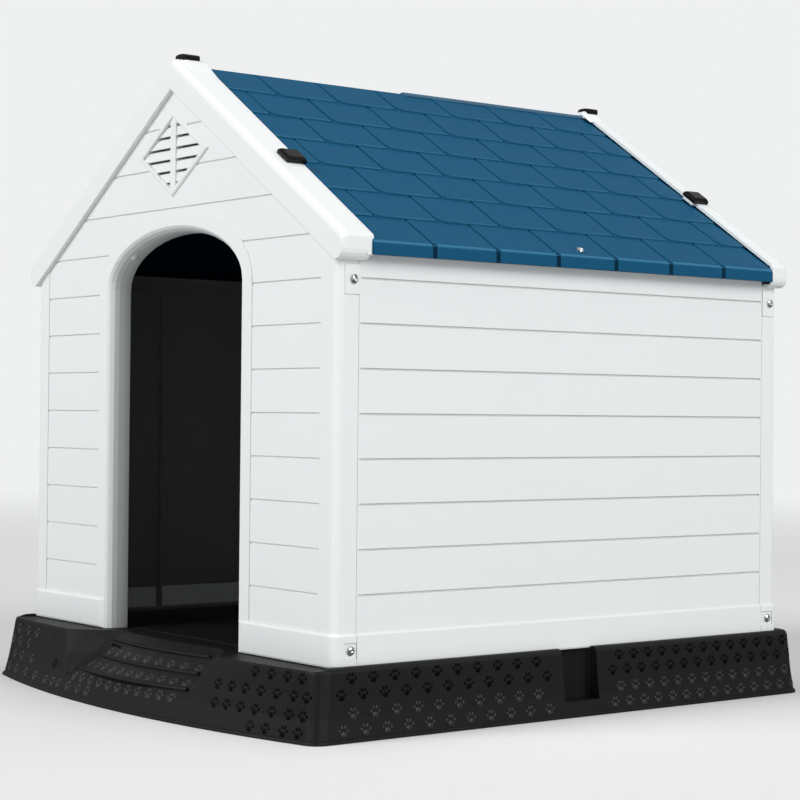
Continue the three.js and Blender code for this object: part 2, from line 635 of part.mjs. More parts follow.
const shingleSlots = () => {
  const slots = [];
  const half = SHINGLE_SLOT / 2;
  const y0 = ROOF_START + SHINGLE_SLOT;
  const y1 = ROOF_FINISH - SHINGLE_SLOT;
  for (let course = 0; course < COURSE_COUNT; course += 1) {
    const low = courseEdge(course);
    const high = Math.max(courseEdge(course + 1), 0);
    const offset = course % 2 === 0 ? SHINGLE_WIDTH / 2 : 0;
    const section = [
      [high, ROOF_TOP - HALF_STEP - SHINGLE_SLOT_DEPTH],
      [low + 1, ROOF_TOP + HALF_STEP - SHINGLE_SLOT_DEPTH],
      [low + 1, ROOF_TOP + COURSE_STEP],
      [high, ROOF_TOP + COURSE_STEP],
    ];
    const first = MID_DEPTH + offset - SHINGLE_WIDTH * Math.floor((MID_DEPTH + offset - y0) / SHINGLE_WIDTH);
    for (let centre = first; centre < y1; centre += SHINGLE_WIDTH) {
      slots.push(slopePrism(section, centre - half, centre + half));
      if (course === 0) {
        slots.push(box(EAVE_END - SHINGLE_SLOT_DEPTH / 2, EAVE_END + 1, centre - half, centre + half,
          DRIP_BOTTOM - 1, DRIP_TOP + ROOF_SKIN));
      }
    }
  }
  return unite(slots);
};

const roofPanel = (lapsAtFront) => {
  const y0 = ROOF_START;
  const y1 = ROOF_FINISH;
  const ribOuter = onSlope([EAVE_RIB_SLOPE_POSITION + ROOF_SKIN, FIT])[0];
  const deepRib = roofBand(RIDGE_X, ribOuter, FIT, ROOF_UNDERSIDE + 1);
  const shallowRib = roofBand(RIDGE_X, ribOuter, ROOF_TOP / 3, ROOF_UNDERSIDE + 1);
  const pieces = [
    prism(roofSection(), y0, y1, 'y'),
    prism(roofBand(RIDGE_X, RIDGE_X + ROOF_SKIN, FIT, ROOF_UNDERSIDE + 1), y0, y1, 'y'),
    prism(roofBand(RIDGE_X, LAP_LIP_WIDTH + ROOF_SKIN, ROOF_UNDERSIDE - ROOF_SKIN, ROOF_UNDERSIDE + 1),
      y0, y1, 'y'),
    prism(deepRib, y0, y0 + ROOF_SKIN, 'y'),
    prism(deepRib, y1 - ROOF_SKIN, y1, 'y'),
    slopeBox(EAVE_RIB_SLOPE_POSITION, EAVE_RIB_SLOPE_POSITION + ROOF_SKIN, FIT, ROOF_UNDERSIDE + 1, y0, y1),
  ];
  for (let y = MID_DEPTH - 1.5 * ROOF_RIB_PITCH; y < y1 - ROOF_SKIN; y += ROOF_RIB_PITCH) {
    pieces.push(prism(shallowRib, y - ROOF_SKIN / 2, y + ROOF_SKIN / 2, 'y'));
  }

  // Tongues that slide under the rakes at both ends.
  const tongueEnd = RAKE_END - SKIN - 1.5;
  const tongue = roofBand(RIDGE_X, tongueEnd, TONGUE_TOP - TONGUE_THICKNESS, TONGUE_TOP);
  pieces.push(prism(tongue, y0 - TONGUE_LENGTH, y0 + 1, 'y'));
  pieces.push(prism(tongue, y1 - 1, y1 + TONGUE_LENGTH, 'y'));

  // Boss of the roof screw.
  const boss = cylinder(ROOF_BOSS_RADIUS, FIT - ROOF_TOP, ROOF_UNDERSIDE + 1 - ROOF_TOP, 'z', [0, 0], 14);
  const seat = onSlope([ROOF_SCREW_SLOPE_POSITION, ROOF_TOP]);
  const turn = new THREE.Matrix4().makeRotationY(ROOF_PITCH);
  turn.setPosition(seat[0], MID_DEPTH, seat[1]);
  pieces.push(moved(boss, turn));

  // The lip laps over the other roof panel along one half of the ridge, and a rebate takes the other
  // panel's lip along the other half.
  const lipTop = ROOF_TOP - HALF_STEP / 2;
  const lipLow = lipTop - LAP_LIP_THICKNESS;
  const lip = [
    [-LAP_LIP_WIDTH, rakeHeight(LAP_LIP_WIDTH, lipLow)],
    [0, rakeHeight(0, lipLow)],
    [RIDGE_X + 1, rakeHeight(RIDGE_X + 1, lipLow)],
    [RIDGE_X + 1, rakeHeight(RIDGE_X + 1, lipTop)],
    [0, rakeHeight(0, lipTop)],
    [-LAP_LIP_WIDTH, rakeHeight(LAP_LIP_WIDTH, lipTop)],
  ];
  const halves = [[y0, MID_DEPTH - FIT / 2], [MID_DEPTH + FIT / 2, y1]];
  const [lipHalf, rebateHalf] = lapsAtFront ? halves : [...halves].reverse();
  pieces.push(prism(lip, ...lipHalf, 'y'));
  const rebateWidth = LAP_LIP_WIDTH + 2 * FIT;
  const rebate = roofBand(-1, rebateWidth, lipLow - FIT, lipTop + LAP_LIP_THICKNESS)
    .map(([x, z]) => (x < 0 ? [x, z + TAN] : [x, z]));

  const [rebateStart, rebateEnd] = rebateHalf;
  return unite(pieces)
    .subtract(prism(rebate, rebateStart - FIT, rebateEnd + FIT, 'y'))
    .subtract(shingleSlots())
    .subtract(roofScrewHole())
    .subtract(clipHoles(FRONT_CLIP_CENTRE))
    .subtract(turnedAround(clipHoles(BACK_CLIP_CENTRE)));
};

// ---------------------------------------------------------------- base
// Plan of the base at one height: straight sides and back, bowed front, round corners. `front` and
// `corner` are the reach of the front on the centre line and where it would meet the sides.
const basePlan = ({ half, front, corner, back, radius }) => {
  const rise = front - corner;
  const bow = (half ** 2 + rise ** 2) / (2 * rise);
  const bowCentre = bow - front;
  const cornerX = half - radius;
  const cornerY = bowCentre - Math.sqrt((bow - radius) ** 2 - cornerX ** 2);
  const turn = THREE.MathUtils.radToDeg(Math.asin(cornerX / (bow - radius)));
  return [
    ...arc([0, bowCentre], bow, 270 - turn, 270 + turn, 16),
    ...arc([cornerX, cornerY], radius, 270 + turn, 360, 5).slice(1),
    ...arc([cornerX, HOUSE_DEPTH + back - radius], radius, 0, 90, 5),
    ...arc([-cornerX, HOUSE_DEPTH + back - radius], radius, 90, 180, 5),
    ...arc([-cornerX, cornerY], radius, 180, 270 - turn, 5).slice(0, -1),
  ];
};

// Outline at one height, drawn in by `inset`. The skirt is slightly hollow between foot and rim.
const baseLevel = (height, inset) => {
  const draft = (height / RIM_TOP) ** 0.85;
  const points = basePlan({
    half: BASE_HALF_WIDTH - BASE_SIDE_DRAFT * draft - inset,
    front: BASE_FRONT_REACH - BASE_FRONT_DRAFT * draft - inset,
    corner: BASE_CORNER_REACH - BASE_CORNER_DRAFT * draft - inset,
    back: BASE_BACK_REACH - BASE_BACK_DRAFT * draft - inset,
    radius: BASE_CORNER_RADIUS - Math.min(inset, BASE_CORNER_RADIUS / 2),
  });
  return { at: height, points };
};

const baseBlock = () => {
  const rim = [0, 30, 60, 90].map((degrees) => {
    const angle = THREE.MathUtils.degToRad(degrees);
    return baseLevel(RIM_TOP - BASE_RIM_EDGE * (1 - Math.sin(angle)), BASE_RIM_EDGE * (1 - Math.cos(angle)));
  });
  return loft([
    baseLevel(0, 0),
    baseLevel(BASE_LIP_HEIGHT, 0),
    baseLevel(BASE_LIP_HEIGHT + BASE_LIP_PROUD / 2, BASE_LIP_PROUD),
    baseLevel(BASE_HEIGHT / 3, BASE_LIP_PROUD),
    baseLevel((BASE_HEIGHT * 2) / 3, BASE_LIP_PROUD / 2),
    ...rim,
  ], 'z');
};

const baseHollow = (skin) => loft([
  { at: -1, points: baseLevel(0, skin + BASE_LIP_PROUD).points },
  baseLevel(BASE_LIP_HEIGHT, skin + BASE_LIP_PROUD),
  baseLevel((BASE_HEIGHT * 2) / 3, skin + BASE_LIP_PROUD),
  baseLevel(BASE_HEIGHT - skin, skin + BASE_RIM_EDGE),
], 'z');

// Takes the block down to the floor but for the rim, which slopes up from the ledge at the corners.
const spaceInsideRim = () => {
  const half = SKIRT_HALF + BASE_RIM_GAP;
  const back = HOUSE_DEPTH + SKIRT_PROUD + BASE_RIM_GAP;
  const top = RIM_TOP + 1;
  const ledge = [
    [-BASE_FRONT_REACH, BASE_HEIGHT],
    [-RIM_START, BASE_HEIGHT],
    [RIM_SLOPE - RIM_START, top],
    [-BASE_FRONT_REACH, top],
  ];
  return box(-half, half, -BASE_FRONT_REACH, back, BASE_HEIGHT, top)
    .add(prism(ledge, -BASE_HALF_WIDTH, BASE_HALF_WIDTH, 'x'));
};

// The entry ramp from near the ground up to the floor. On each tread line `reach` is how far it lies
// beyond the boards on the centre line and `bow` how much less it reaches at its ends, `spread` from
// the ramp's upper half-width. `mouth` and `mouthReach` are where the flared side meets the skirt.
const RAMP_LINES = [
  { height: 22, reach: 70, bow: 16, spread: 23, mouth: 5, mouthReach: 60 },
  { height: 30.6, reach: 60.5, bow: 14.5, spread: 20, mouth: 20, mouthReach: 57 },
  { height: 44.4, reach: 38, bow: 12.5, spread: 10.5, mouth: 44, mouthReach: 50 },
  { height: 59.9, reach: 17, bow: 9, spread: 4.5, mouth: 62, mouthReach: 43 },
  { height: BASE_HEIGHT + 1, reach: -1, bow: 5, spread: 0, mouth: 72, mouthReach: 38.5 },
];
const RAMP_RIBS = [1, 2, 3];
const RAMP_RIB_RADIUS = 2.8;
const RAMP_STEPS = 12; // sides of each tread line
const FLARE_STEPS = 6;

const rampLine = ({ half, reach, bow }) => Array.from({ length: RAMP_STEPS + 1 }, (_, i) => {
  const share = 1 - (2 * i) / RAMP_STEPS;
  return [half * share, -(reach - bow * share * share)];
});

// The right-hand side of the ramp: an S-curve from the skirt back to the end of a tread line.
const rampFlare = ({ half, reach, bow, mouth, mouthReach }) => (
  Array.from({ length: FLARE_STEPS }, (_, i) => {
    const share = 1 - i / FLARE_STEPS;
    const ease = share * share * (3 - 2 * share);
    const end = bow - reach;
    return [half + mouth * share, end + (-mouthReach - end) * ease];
  })
);

const rampSpace = (grow) => {
  const far = BASE_FRONT_REACH + 40;
  const rings = RAMP_LINES.map((line) => {
    const grown = {
      ...line,
      half: RAMP_HALF_WIDTH + line.spread + grow,
      reach: line.reach - grow,
      mouthReach: line.mouthReach - grow,
    };
    const flare = rampFlare(grown);
    const edge = grown.half + grown.mouth;
    return {
      at: line.height - grow,
      points: [
        [-edge, -far],
        [edge, -far],
        ...flare,
        ...rampLine(grown),
        ...flare.map(([x, y]) => [-x, y]).reverse(),
      ],
    };
  });
  rings.push({ at: RIM_TOP + 10, points: rings[rings.length - 1].points });
  return loft(rings, 'z');
};

const rampRib = (line) => {
  const shortened = { ...line, half: RAMP_HALF_WIDTH + line.spread - RAMP_RIB_RADIUS };
  const rings = rampLine(shortened).reverse().map(([x, y]) => ({
    at: x,
    points: arc([y, line.height], RAMP_RIB_RADIUS, 0, 300, 5),
  }));
  return loft(rings, 'x');
};

// Drain holes in front of the rib ends: round ones at the right, a slot at the left of the top rib.
const DRAIN_WIDTH = 3.6;
const DRAINS = [[RAMP_HALF_WIDTH + 7.5, -26], [RAMP_HALF_WIDTH + 18.5, -46]];
const DRAIN_SLOT = [[-RAMP_HALF_WIDTH + 2, -12.5], [-RAMP_HALF_WIDTH + 30, -17.5]];

const drainHoles = () => {
  const from = BASE_RIB_CLEARANCE;
  const round = DRAINS.map((centre) => cylinder(DRAIN_WIDTH / 2, from, BASE_HEIGHT, 'z', centre, 8));
  const [[x0, y0], [x1, y1]] = DRAIN_SLOT;
  const slot = prism([[x0, y0 - DRAIN_WIDTH], [x1, y1 - DRAIN_WIDTH], [x1, y1], [x0, y0]], from, BASE_HEIGHT, 'z');
  return unite([...round, slot]);
};

const notchSpace = (grow) => {
  const half = NOTCH_HALF_WIDTH + grow;
  const back = BASE_HALF_WIDTH - NOTCH_DEPTH - grow;
  const far = BASE_HALF_WIDTH + 20;
  const radius = NOTCH_RADIUS + grow;
  return prism([
    [far, MID_DEPTH + half],
    ...arc([back + radius, MID_DEPTH + half - radius], radius, 90, 180, 4),
    ...arc([back + radius, MID_DEPTH - half + radius], radius, 180, 270, 4),
    [far, MID_DEPTH - half],
  ], NOTCH_FLOOR - grow, RIM_TOP + 10, 'z');
};

// Upstands on the floor that keep the panels in place from inside.
const LUG_LENGTH = 40;
const LUG_HEIGHT = 12;
const LUG_THICKNESS = 4;
const LUG_OFFSET = 60;
const FLOOR_FIELD_RISE = 0.8;

const floorLugs = () => {
  const x1 = HALF - FOOT_FLANGE_WIDTH - FIT;
  const z0 = BASE_HEIGHT - 1;
  const z1 = BASE_HEIGHT + LUG_HEIGHT;
  const sides = [LUG_OFFSET, HOUSE_DEPTH - LUG_OFFSET - LUG_LENGTH].map((y) => (
    box(x1 - LUG_THICKNESS, x1, y, y + LUG_LENGTH, z0, z1)
  ));
  const x0 = DOOR_HALF_WIDTH + LUG_OFFSET;
  const front = FRONT_RETURN + FIT;
  const back = HOUSE_DEPTH - BACK_RETURN - FIT;
  return onBothSides(unite([
    ...sides,
    box(x0, x0 + LUG_LENGTH, front, front + LUG_THICKNESS, z0, z1),
    box(x0, x0 + LUG_LENGTH, back - LUG_THICKNESS, back, z0, z1),
  ]));
};

// The floor is raised a little inside the walls and the upstands.
const floorField = () => {
  const half = HALF - FOOT_FLANGE_WIDTH - LUG_THICKNESS - 2;
  const front = FRONT_RETURN + LUG_THICKNESS + 2;
  const back = HOUSE_DEPTH - BACK_RETURN - LUG_THICKNESS - 2;
  return box(-half, half, front, back, BASE_HEIGHT - 1, BASE_HEIGHT + FLOOR_FIELD_RISE);
};

const underRibs = () => {
  const ribs = [];
  const z0 = BASE_RIB_CLEARANCE;
  const z1 = BASE_HEIGHT - SKIN + 1;
  const half = BASE_RIB_THICKNESS / 2;
  for (let i = 1; i <= BASE_RIB_COLUMNS; i += 1) {
    const x = -BASE_HALF_WIDTH + (i * 2 * BASE_HALF_WIDTH) / (BASE_RIB_COLUMNS + 1);
    ribs.push(box(x - half, x + half, -BASE_FRONT_REACH, HOUSE_DEPTH + BASE_BACK_REACH, z0, z1));
  }
  for (let i = 1; i <= BASE_RIB_ROWS; i += 1) {
    const y = (i * HOUSE_DEPTH) / (BASE_RIB_ROWS + 1);
    ribs.push(box(-BASE_HALF_WIDTH, BASE_HALF_WIDTH, y - half, y + half, z0, z1));
  }
  return unite(ribs);
};

const base = () => {
  const spaces = (grow) => {
    const notch = notchSpace(grow);
    return rampSpace(grow).add(notch).add(mirroredLeft(notch));
  };
  const hollow = (skin) => baseHollow(skin).subtract(spaces(skin));
  const ribs = underRibs().intersect(hollow(SKIN / 2));
  const treads = unite(RAMP_RIBS.map((i) => rampRib(RAMP_LINES[i])));
  return baseBlock()
    .subtract(spaceInsideRim())
    .subtract(spaces(0))
    .add(treads)
    .subtract(hollow(SKIN))
    .add(ribs)
    .add(floorLugs())
    .add(floorField())
    .subtract(drainHoles());
};

// ---------------------------------------------------------------- clips and screws
const slab = (length, width, low, high, bevel) => {
  const plan = (inset) => {
    const a = length / 2 - inset;
    const b = width / 2 - inset;
    return [[-a, -b], [a, -b], [a, b], [-a, b]];
  };
  return loft([
    { at: low, points: plan(0) },
    { at: high - bevel, points: plan(0) },
    { at: high, points: plan(bevel) },
  ], 'z');
};

// Square shank with barbs that catch under the roof panels' tongues, `grip` below the clip's seat.
const clipShank = (grip) => {
  const half = CLIP_SHANK / 2;
  const plan = (grow) => [[-half - grow, -half], [half + grow, -half], [half + grow, half], [-half - grow, half]];
  return loft([
    { at: -grip - CLIP_BARB_LENGTH, points: plan(-CLIP_BARB) },
    { at: -grip - 1, points: plan(CLIP_BARB) },
    { at: -grip, points: plan(CLIP_BARB) },
    { at: 0.2 - grip, points: plan(0) },
    { at: 1, points: plan(0) },
  ], 'z');
};

const slopeClip = () => {
  const grip = RAKE_DEPTH - TONGUE_TOP + TONGUE_THICKNESS + 2 * FIT;
  return slab(CLIP_LENGTH, CLIP_WIDTH, 0, CLIP_HEIGHT, CLIP_BEVEL).add(clipShank(grip));
};

// The apex clip straddles the ridge of the rake.
const apexClip = () => {
  const reach = CLIP_LENGTH;
  const drop = (reach - APEX_FLAT) * TAN;
  const saddle = prism([
    [-reach, -reach], [reach, -reach], [reach, -drop], [APEX_FLAT, 0], [-APEX_FLAT, 0], [-reach, -drop],
  ], -CLIP_WIDTH, CLIP_WIDTH, 'y');
  const lowest = -(CLIP_LENGTH / 2 - APEX_FLAT) * TAN;
  const tongueUnder = rakeHeight(CLIP_SHANK / 2 + CLIP_BARB, TONGUE_TOP - TONGUE_THICKNESS);
  const grip = rakeHeight(APEX_FLAT, RAKE_DEPTH) - tongueUnder + 2 * FIT;
  return slab(CLIP_LENGTH, CLIP_WIDTH, lowest, CLIP_HEIGHT, CLIP_BEVEL).subtract(saddle).add(clipShank(grip));
};

const screw = (length) => {
  const tip = SCREW_RADIUS * 1.5;
  const profile = [
    [0, -length],
    [SCREW_RADIUS, tip - length],
    [SCREW_RADIUS, 0],
    [SCREW_HEAD_RADIUS, 0],
    [SCREW_HEAD_RADIUS, SCREW_HEAD_HEIGHT * 0.4],
    [SCREW_HEAD_RADIUS * 0.7, SCREW_HEAD_HEIGHT * 0.85],
    [0, SCREW_HEAD_HEIGHT],
  ].map(([radius, height]) => new THREE.Vector2(radius, height));
  return solidOf(new THREE.LatheGeometry(profile, 12).rotateX(Math.PI / 2));
};

// ---------------------------------------------------------------- assembly
const house = new THREE.Group();
house.position.y = (BASE_FRONT_REACH - BASE_BACK_REACH - HOUSE_DEPTH) / 2; // centres the base

const addPiece = (name, solid, material, position = [0, 0, 0], tilt = 0) => {
  const { vertProperties, triVerts } = solid.getMesh();
  const geometry = new THREE.BufferGeometry();
  geometry.setAttribute('position', new THREE.Float32BufferAttribute(vertProperties, 3));
  geometry.setIndex(new THREE.Uint32BufferAttribute(triVerts, 1));
  geometry.computeVertexNormals();
  const piece = new THREE.Mesh(geometry, material);
  piece.name = name;
  piece.position.set(...position);
  piece.rotation.y = tilt;
  house.add(piece);
};

addPiece('base', base(), black);
addPiece('front_panel', gablePanel(FRONT_END), white);
addPiece('back_panel', turnedAround(gablePanel(BACK_END)), white);

const rightSide = sidePanel();
addPiece('side_panel_right', rightSide, white);
addPiece('side_panel_left', mirroredLeft(rightSide), white);

// The two roof panels are mirror images but for the lap along the ridge.
addPiece('roof_panel_right', roofPanel(true), blue);
addPiece('roof_panel_left', mirroredLeft(roofPanel(false)), blue);

const ENDS = [
  { end: 'front', clipDepth: FRONT_CLIP_CENTRE, screwDepth: FRONT_SCREW_INSET },
  { end: 'back', clipDepth: HOUSE_DEPTH - BACK_CLIP_CENTRE, screwDepth: HOUSE_DEPTH - BACK_SCREW_INSET },
];
const SIDES = [{ side: 'right', sign: 1 }, { side: 'left', sign: -1 }];
const seatOfClip = onSlope([CLIP_SLOPE_POSITION, RAKE_DEPTH + FIT]);
const apexSeat = rakeHeight(APEX_FLAT, RAKE_DEPTH) + FIT;

ENDS.forEach(({ end, clipDepth, screwDepth }) => {
  addPiece(`roof_clip_${end}_apex`, apexClip(), glossBlack, [0, clipDepth, apexSeat]);
  SIDES.forEach(({ side, sign }) => {
    const [x, z] = seatOfClip;
    addPiece(`roof_clip_${end}_${side}`, slopeClip(), glossBlack, [sign * x, clipDepth, z], sign * ROOF_PITCH);
    CORNER_SCREW_HEIGHTS.forEach((height, i) => {
      const isLow = i === 0;
      const proud = isLow ? SKIRT_PROUD - SCREW_PAD_DEPTH : SCREW_PAD_DEPTH * 0.7;
      const length = SCREW_BOSS_LENGTH + 2 * SKIN;
      addPiece(`screw_${end}_${side}_${isLow ? 'low' : 'high'}`, screw(length), steel,
        [sign * (HALF + proud + FIT), screwDepth, height], (sign * Math.PI) / 2);
    });
  });
});

SIDES.forEach(({ side, sign }) => {
  const [x, z] = onSlope([ROOF_SCREW_SLOPE_POSITION, ROOF_TOP + HALF_STEP + FIT]);
  addPiece(`roof_screw_${side}`, screw(ROOF_SCREW_LENGTH), steel, [sign * x, MID_DEPTH, z], sign * ROOF_PITCH);
});

export default house;
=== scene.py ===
# Plastic dog house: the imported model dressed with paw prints, shingles, screws and procedural plastics.
import math

import bpy
from mathutils import Matrix, Vector
from mathutils.bvhtree import BVHTree


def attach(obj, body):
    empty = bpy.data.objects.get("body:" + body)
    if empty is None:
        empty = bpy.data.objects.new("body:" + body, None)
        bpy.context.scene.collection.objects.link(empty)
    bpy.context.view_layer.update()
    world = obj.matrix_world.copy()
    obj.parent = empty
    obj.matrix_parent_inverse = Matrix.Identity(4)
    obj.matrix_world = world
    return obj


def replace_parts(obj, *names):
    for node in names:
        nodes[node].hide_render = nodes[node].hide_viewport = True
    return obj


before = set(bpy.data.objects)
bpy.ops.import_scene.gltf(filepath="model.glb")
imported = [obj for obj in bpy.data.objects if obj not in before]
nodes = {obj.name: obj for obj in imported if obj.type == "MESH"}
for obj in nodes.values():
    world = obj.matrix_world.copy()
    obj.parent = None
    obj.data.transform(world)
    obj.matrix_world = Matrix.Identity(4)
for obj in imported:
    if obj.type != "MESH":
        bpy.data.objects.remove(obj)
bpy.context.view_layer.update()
scene = bpy.context.scene

# ---------------------------------------------------------------- camera, at the photograph's view
CAMERA_PLACE = Vector((1.9013, -1.44415, 0.3186))
CAMERA_RIGHT = Vector((0.612025, 0.790777, 0.009821))
CAMERA_UP = Vector((-0.001097, -0.011569, 0.999932))
CAMERA_LENS = 91.258  # mm, on a 36 mm sensor

camera_data = bpy.data.cameras.new("camera")
camera_data.sensor_width = 36.0
camera_data.lens = CAMERA_LENS
camera_data.clip_start = 0.02
camera_data.clip_end = 200.0
camera = bpy.data.objects.new("camera", camera_data)
scene.collection.objects.link(camera)
backward = CAMERA_RIGHT.cross(CAMERA_UP).normalized()
turn = Matrix((CAMERA_RIGHT, CAMERA_UP, backward)).transposed().to_4x4()
camera.matrix_world = Matrix.Translation(CAMERA_PLACE) @ turn
scene.camera = camera

# ---------------------------------------------------------------- light, floor and background
BACKGROUND = (0.86, 0.87, 0.875)
AMBIENT = 0.39
LAMPS = (("key", (-1.4, -9.2, 6.6), 790.0), ("side", (9.2, 1.3, 5.4), 620.0), ("top", (1.3, 2.6, 9.0), 63.0))
LAMP_SIZE = 6.6
LAMP_TARGET = Vector((0.0, 0.0, 0.3))
scene.view_settings.view_transform = "Standard"

for name, place, power in LAMPS:
    lamp_data = bpy.data.lights.new(name, "AREA")
    lamp_data.shape = "DISK"
    lamp_data.size = LAMP_SIZE
    lamp_data.energy = power
    lamp = bpy.data.objects.new(name, lamp_data)
    scene.collection.objects.link(lamp)
    lamp.location = place
    lamp.rotation_mode = "QUATERNION"
    lamp.rotation_quaternion = (LAMP_TARGET - Vector(place)).to_track_quat("-Z", "Y")


class Nodes:
    """Short hand for building a node tree."""

    def __init__(self, tree):
        self.tree = tree
        tree.nodes.clear()

    def add(self, kind, inputs=None, **settings):
        node = self.tree.nodes.new(kind)
        for key, value in settings.items():
            setattr(node, key, value)
        for key, value in (inputs or {}).items():
            socket = node.inputs[key]
            if isinstance(value, bpy.types.NodeSocket):
                self.tree.links.new(value, socket)
            else:
                socket.default_value = value
        return node

    def link(self, a, b):
        self.tree.links.new(a, b)


world = bpy.data.worlds.new("world")
scene.world = world
world.use_nodes = True
tree = Nodes(world.node_tree)
path = tree.add("ShaderNodeLightPath")
seen = tree.add("ShaderNodeMath", {0: path.outputs["Is Camera Ray"], 1: path.outputs["Is Transmission Ray"]},
                operation="MAXIMUM")
lit = tree.add("ShaderNodeBackground", {"Color": (1.0, 1.0, 1.0, 1.0), "Strength": AMBIENT})
shown = tree.add("ShaderNodeBackground", {"Color": (*BACKGROUND, 1.0), "Strength": 1.0})
mix = tree.add("ShaderNodeMixShader", {0: seen.outputs[0], 1: lit.outputs[0], 2: shown.outputs[0]})
tree.add("ShaderNodeOutputWorld", {"Surface": mix.outputs[0]})


def new_material(name):
    material = bpy.data.materials.new(name)
    material.use_nodes = True
    return material, Nodes(material.node_tree)


FLOOR_SHADE, FLOOR_SHADE_MIRRORED = 0.50, 0.12  # as it lights the house, and as the house mirrors it
FLOOR_LIFT = 0.26  # added where the camera sees the floor
FADE_START, FADE_END = 1.2, 6.0  # the floor fades into the background over these distances


def floor_material():
    material, tree = new_material("floor")
    place = tree.add("ShaderNodeNewGeometry")
    flat = tree.add("ShaderNodeVectorMath", {0: place.outputs["Position"], 1: (1.0, 1.0, 0.0)},
                    operation="MULTIPLY")
    far = tree.add("ShaderNodeVectorMath", {0: flat.outputs[0]}, operation="LENGTH")
    fade = tree.add("ShaderNodeMapRange", {"Value": far.outputs["Value"], "From Min": FADE_START,
                                           "From Max": FADE_END}, interpolation_type="SMOOTHSTEP")
    path = tree.add("ShaderNodeLightPath")
    shade = tree.add("ShaderNodeMapRange", {"Value": path.outputs["Is Glossy Ray"], "To Min": FLOOR_SHADE,
                                            "To Max": FLOOR_SHADE_MIRRORED})
    shade = tree.add("ShaderNodeMath", {0: path.outputs["Is Camera Ray"], 1: FLOOR_LIFT, 2: shade.outputs[0]},
                     operation="MULTIPLY_ADD")
    near = tree.add("ShaderNodeBsdfDiffuse", {"Color": shade.outputs[0]})
    away = tree.add("ShaderNodeEmission", {"Color": (*BACKGROUND, 1.0), "Strength": 1.0})
    mix = tree.add("ShaderNodeMixShader", {0: fade.outputs[0], 1: near.outputs[0], 2: away.outputs[0]})
    tree.add("ShaderNodeOutputMaterial", {"Surface": mix.outputs[0]})
    return material


def mesh_object(name, verts, faces):
    mesh = bpy.data.meshes.new(name)
    mesh.from_pydata(verts, [], faces)
    mesh.update()
    obj = bpy.data.objects.new(name, mesh)
    scene.collection.objects.link(obj)
    return obj


FLOOR_REACH = 60.0
FLOOR_DROP = 0.0005  # keeps the floor clear of the base's foot
floor = mesh_object("floor", [(-FLOOR_REACH, -FLOOR_REACH, 0), (FLOOR_REACH, -FLOOR_REACH, 0),
                              (FLOOR_REACH, FLOOR_REACH, 0), (-FLOOR_REACH, FLOOR_REACH, 0)], [(0, 1, 2, 3)])
floor.location.z = -FLOOR_DROP
floor.data.materials.append(floor_material())

# ---------------------------------------------------------------- sizes shared with the solids, in metres
HOUSE_DEPTH = 0.628
BOARD_PLANE = -0.28925  # y of the front boards
PITCH = math.radians(33.3)
COS, SIN = math.cos(PITCH), math.sin(PITCH)
RAKE_APEX = 0.669
ROOF_FRONT = BOARD_PLANE + 0.031
ROOF_BACK = BOARD_PLANE + HOUSE_DEPTH - 0.023
MIDDLE = BOARD_PLANE + HOUSE_DEPTH / 2
COURSE_HIGH, COURSE_LOW = 0.0224, 0.0244  # surface above the rake line at the top and foot of a course
COURSE_LENGTH = 0.0559
COURSES = 7
EAVE_X = 0.3235
ROOF_TOP = 0.0234  # mean shingle surface above the rake line
EAVE_S = (EAVE_X - ROOF_TOP * SIN) / COS
DRIP_TOP = RAKE_APEX + ROOF_TOP / COS - SIN / COS * EAVE_X - 0.0015
DRIP_BOTTOM = DRIP_TOP - 0.0105
SHINGLE_WIDTH = 0.083


# ---------------------------------------------------------------- plastics and steel
# where the shade painted within the cabin starts, and where it is full
CABIN_ROOF = (0.0250, 0.0235)  # above the rake line, measured upright
CABIN_FRONT = (-0.272, -0.248)
CABIN_BACK = (0.330, 0.315)
CABIN_WALL = (0.3065, 0.3050)  # from the middle, on both sides


def painted_cabin_shade_mask(tree):
    """1 within the cabin, where shade is painted into the colour; 0 on the outside and in the doorway."""
    place = tree.add("ShaderNodeNewGeometry")
    part = tree.add("ShaderNodeSeparateXYZ", {0: place.outputs["Position"]})
    across = tree.add("ShaderNodeMath", {0: part.outputs["X"]}, operation="ABSOLUTE")
    height = tree.add("ShaderNodeMath", {0: across.outputs[0], 1: math.tan(PITCH), 2: -RAKE_APEX},
                      operation="MULTIPLY_ADD")
    height = tree.add("ShaderNodeMath", {0: height.outputs[0], 1: part.outputs["Z"]}, operation="ADD")
    limits = ((height.outputs[0], CABIN_ROOF), (part.outputs["Y"], CABIN_FRONT),
              (part.outputs["Y"], CABIN_BACK), (across.outputs[0], CABIN_WALL))
    inside = 1.0
    for value, (outer, inner) in limits:
        step = tree.add("ShaderNodeMapRange", {"Value": value, "From Min": outer, "From Max": inner})
        both = tree.add("ShaderNodeMath", {0: inside, 1: step.outputs[0]}, operation="MULTIPLY")
        inside = both.outputs[0]
    return inside


GLOSS_SPREAD = 0.05
BEND_FACING = (0.86, 0.0, 0.51)  # the way that the bend of the roof's drip faces; surfaces that face so get a painted highlight


def mixed(tree, share, first, second):
    """The colour between two colours."""
    return tree.add("ShaderNodeMix", {0: share, 6: first, 7: second}, data_type="RGBA").outputs[2]


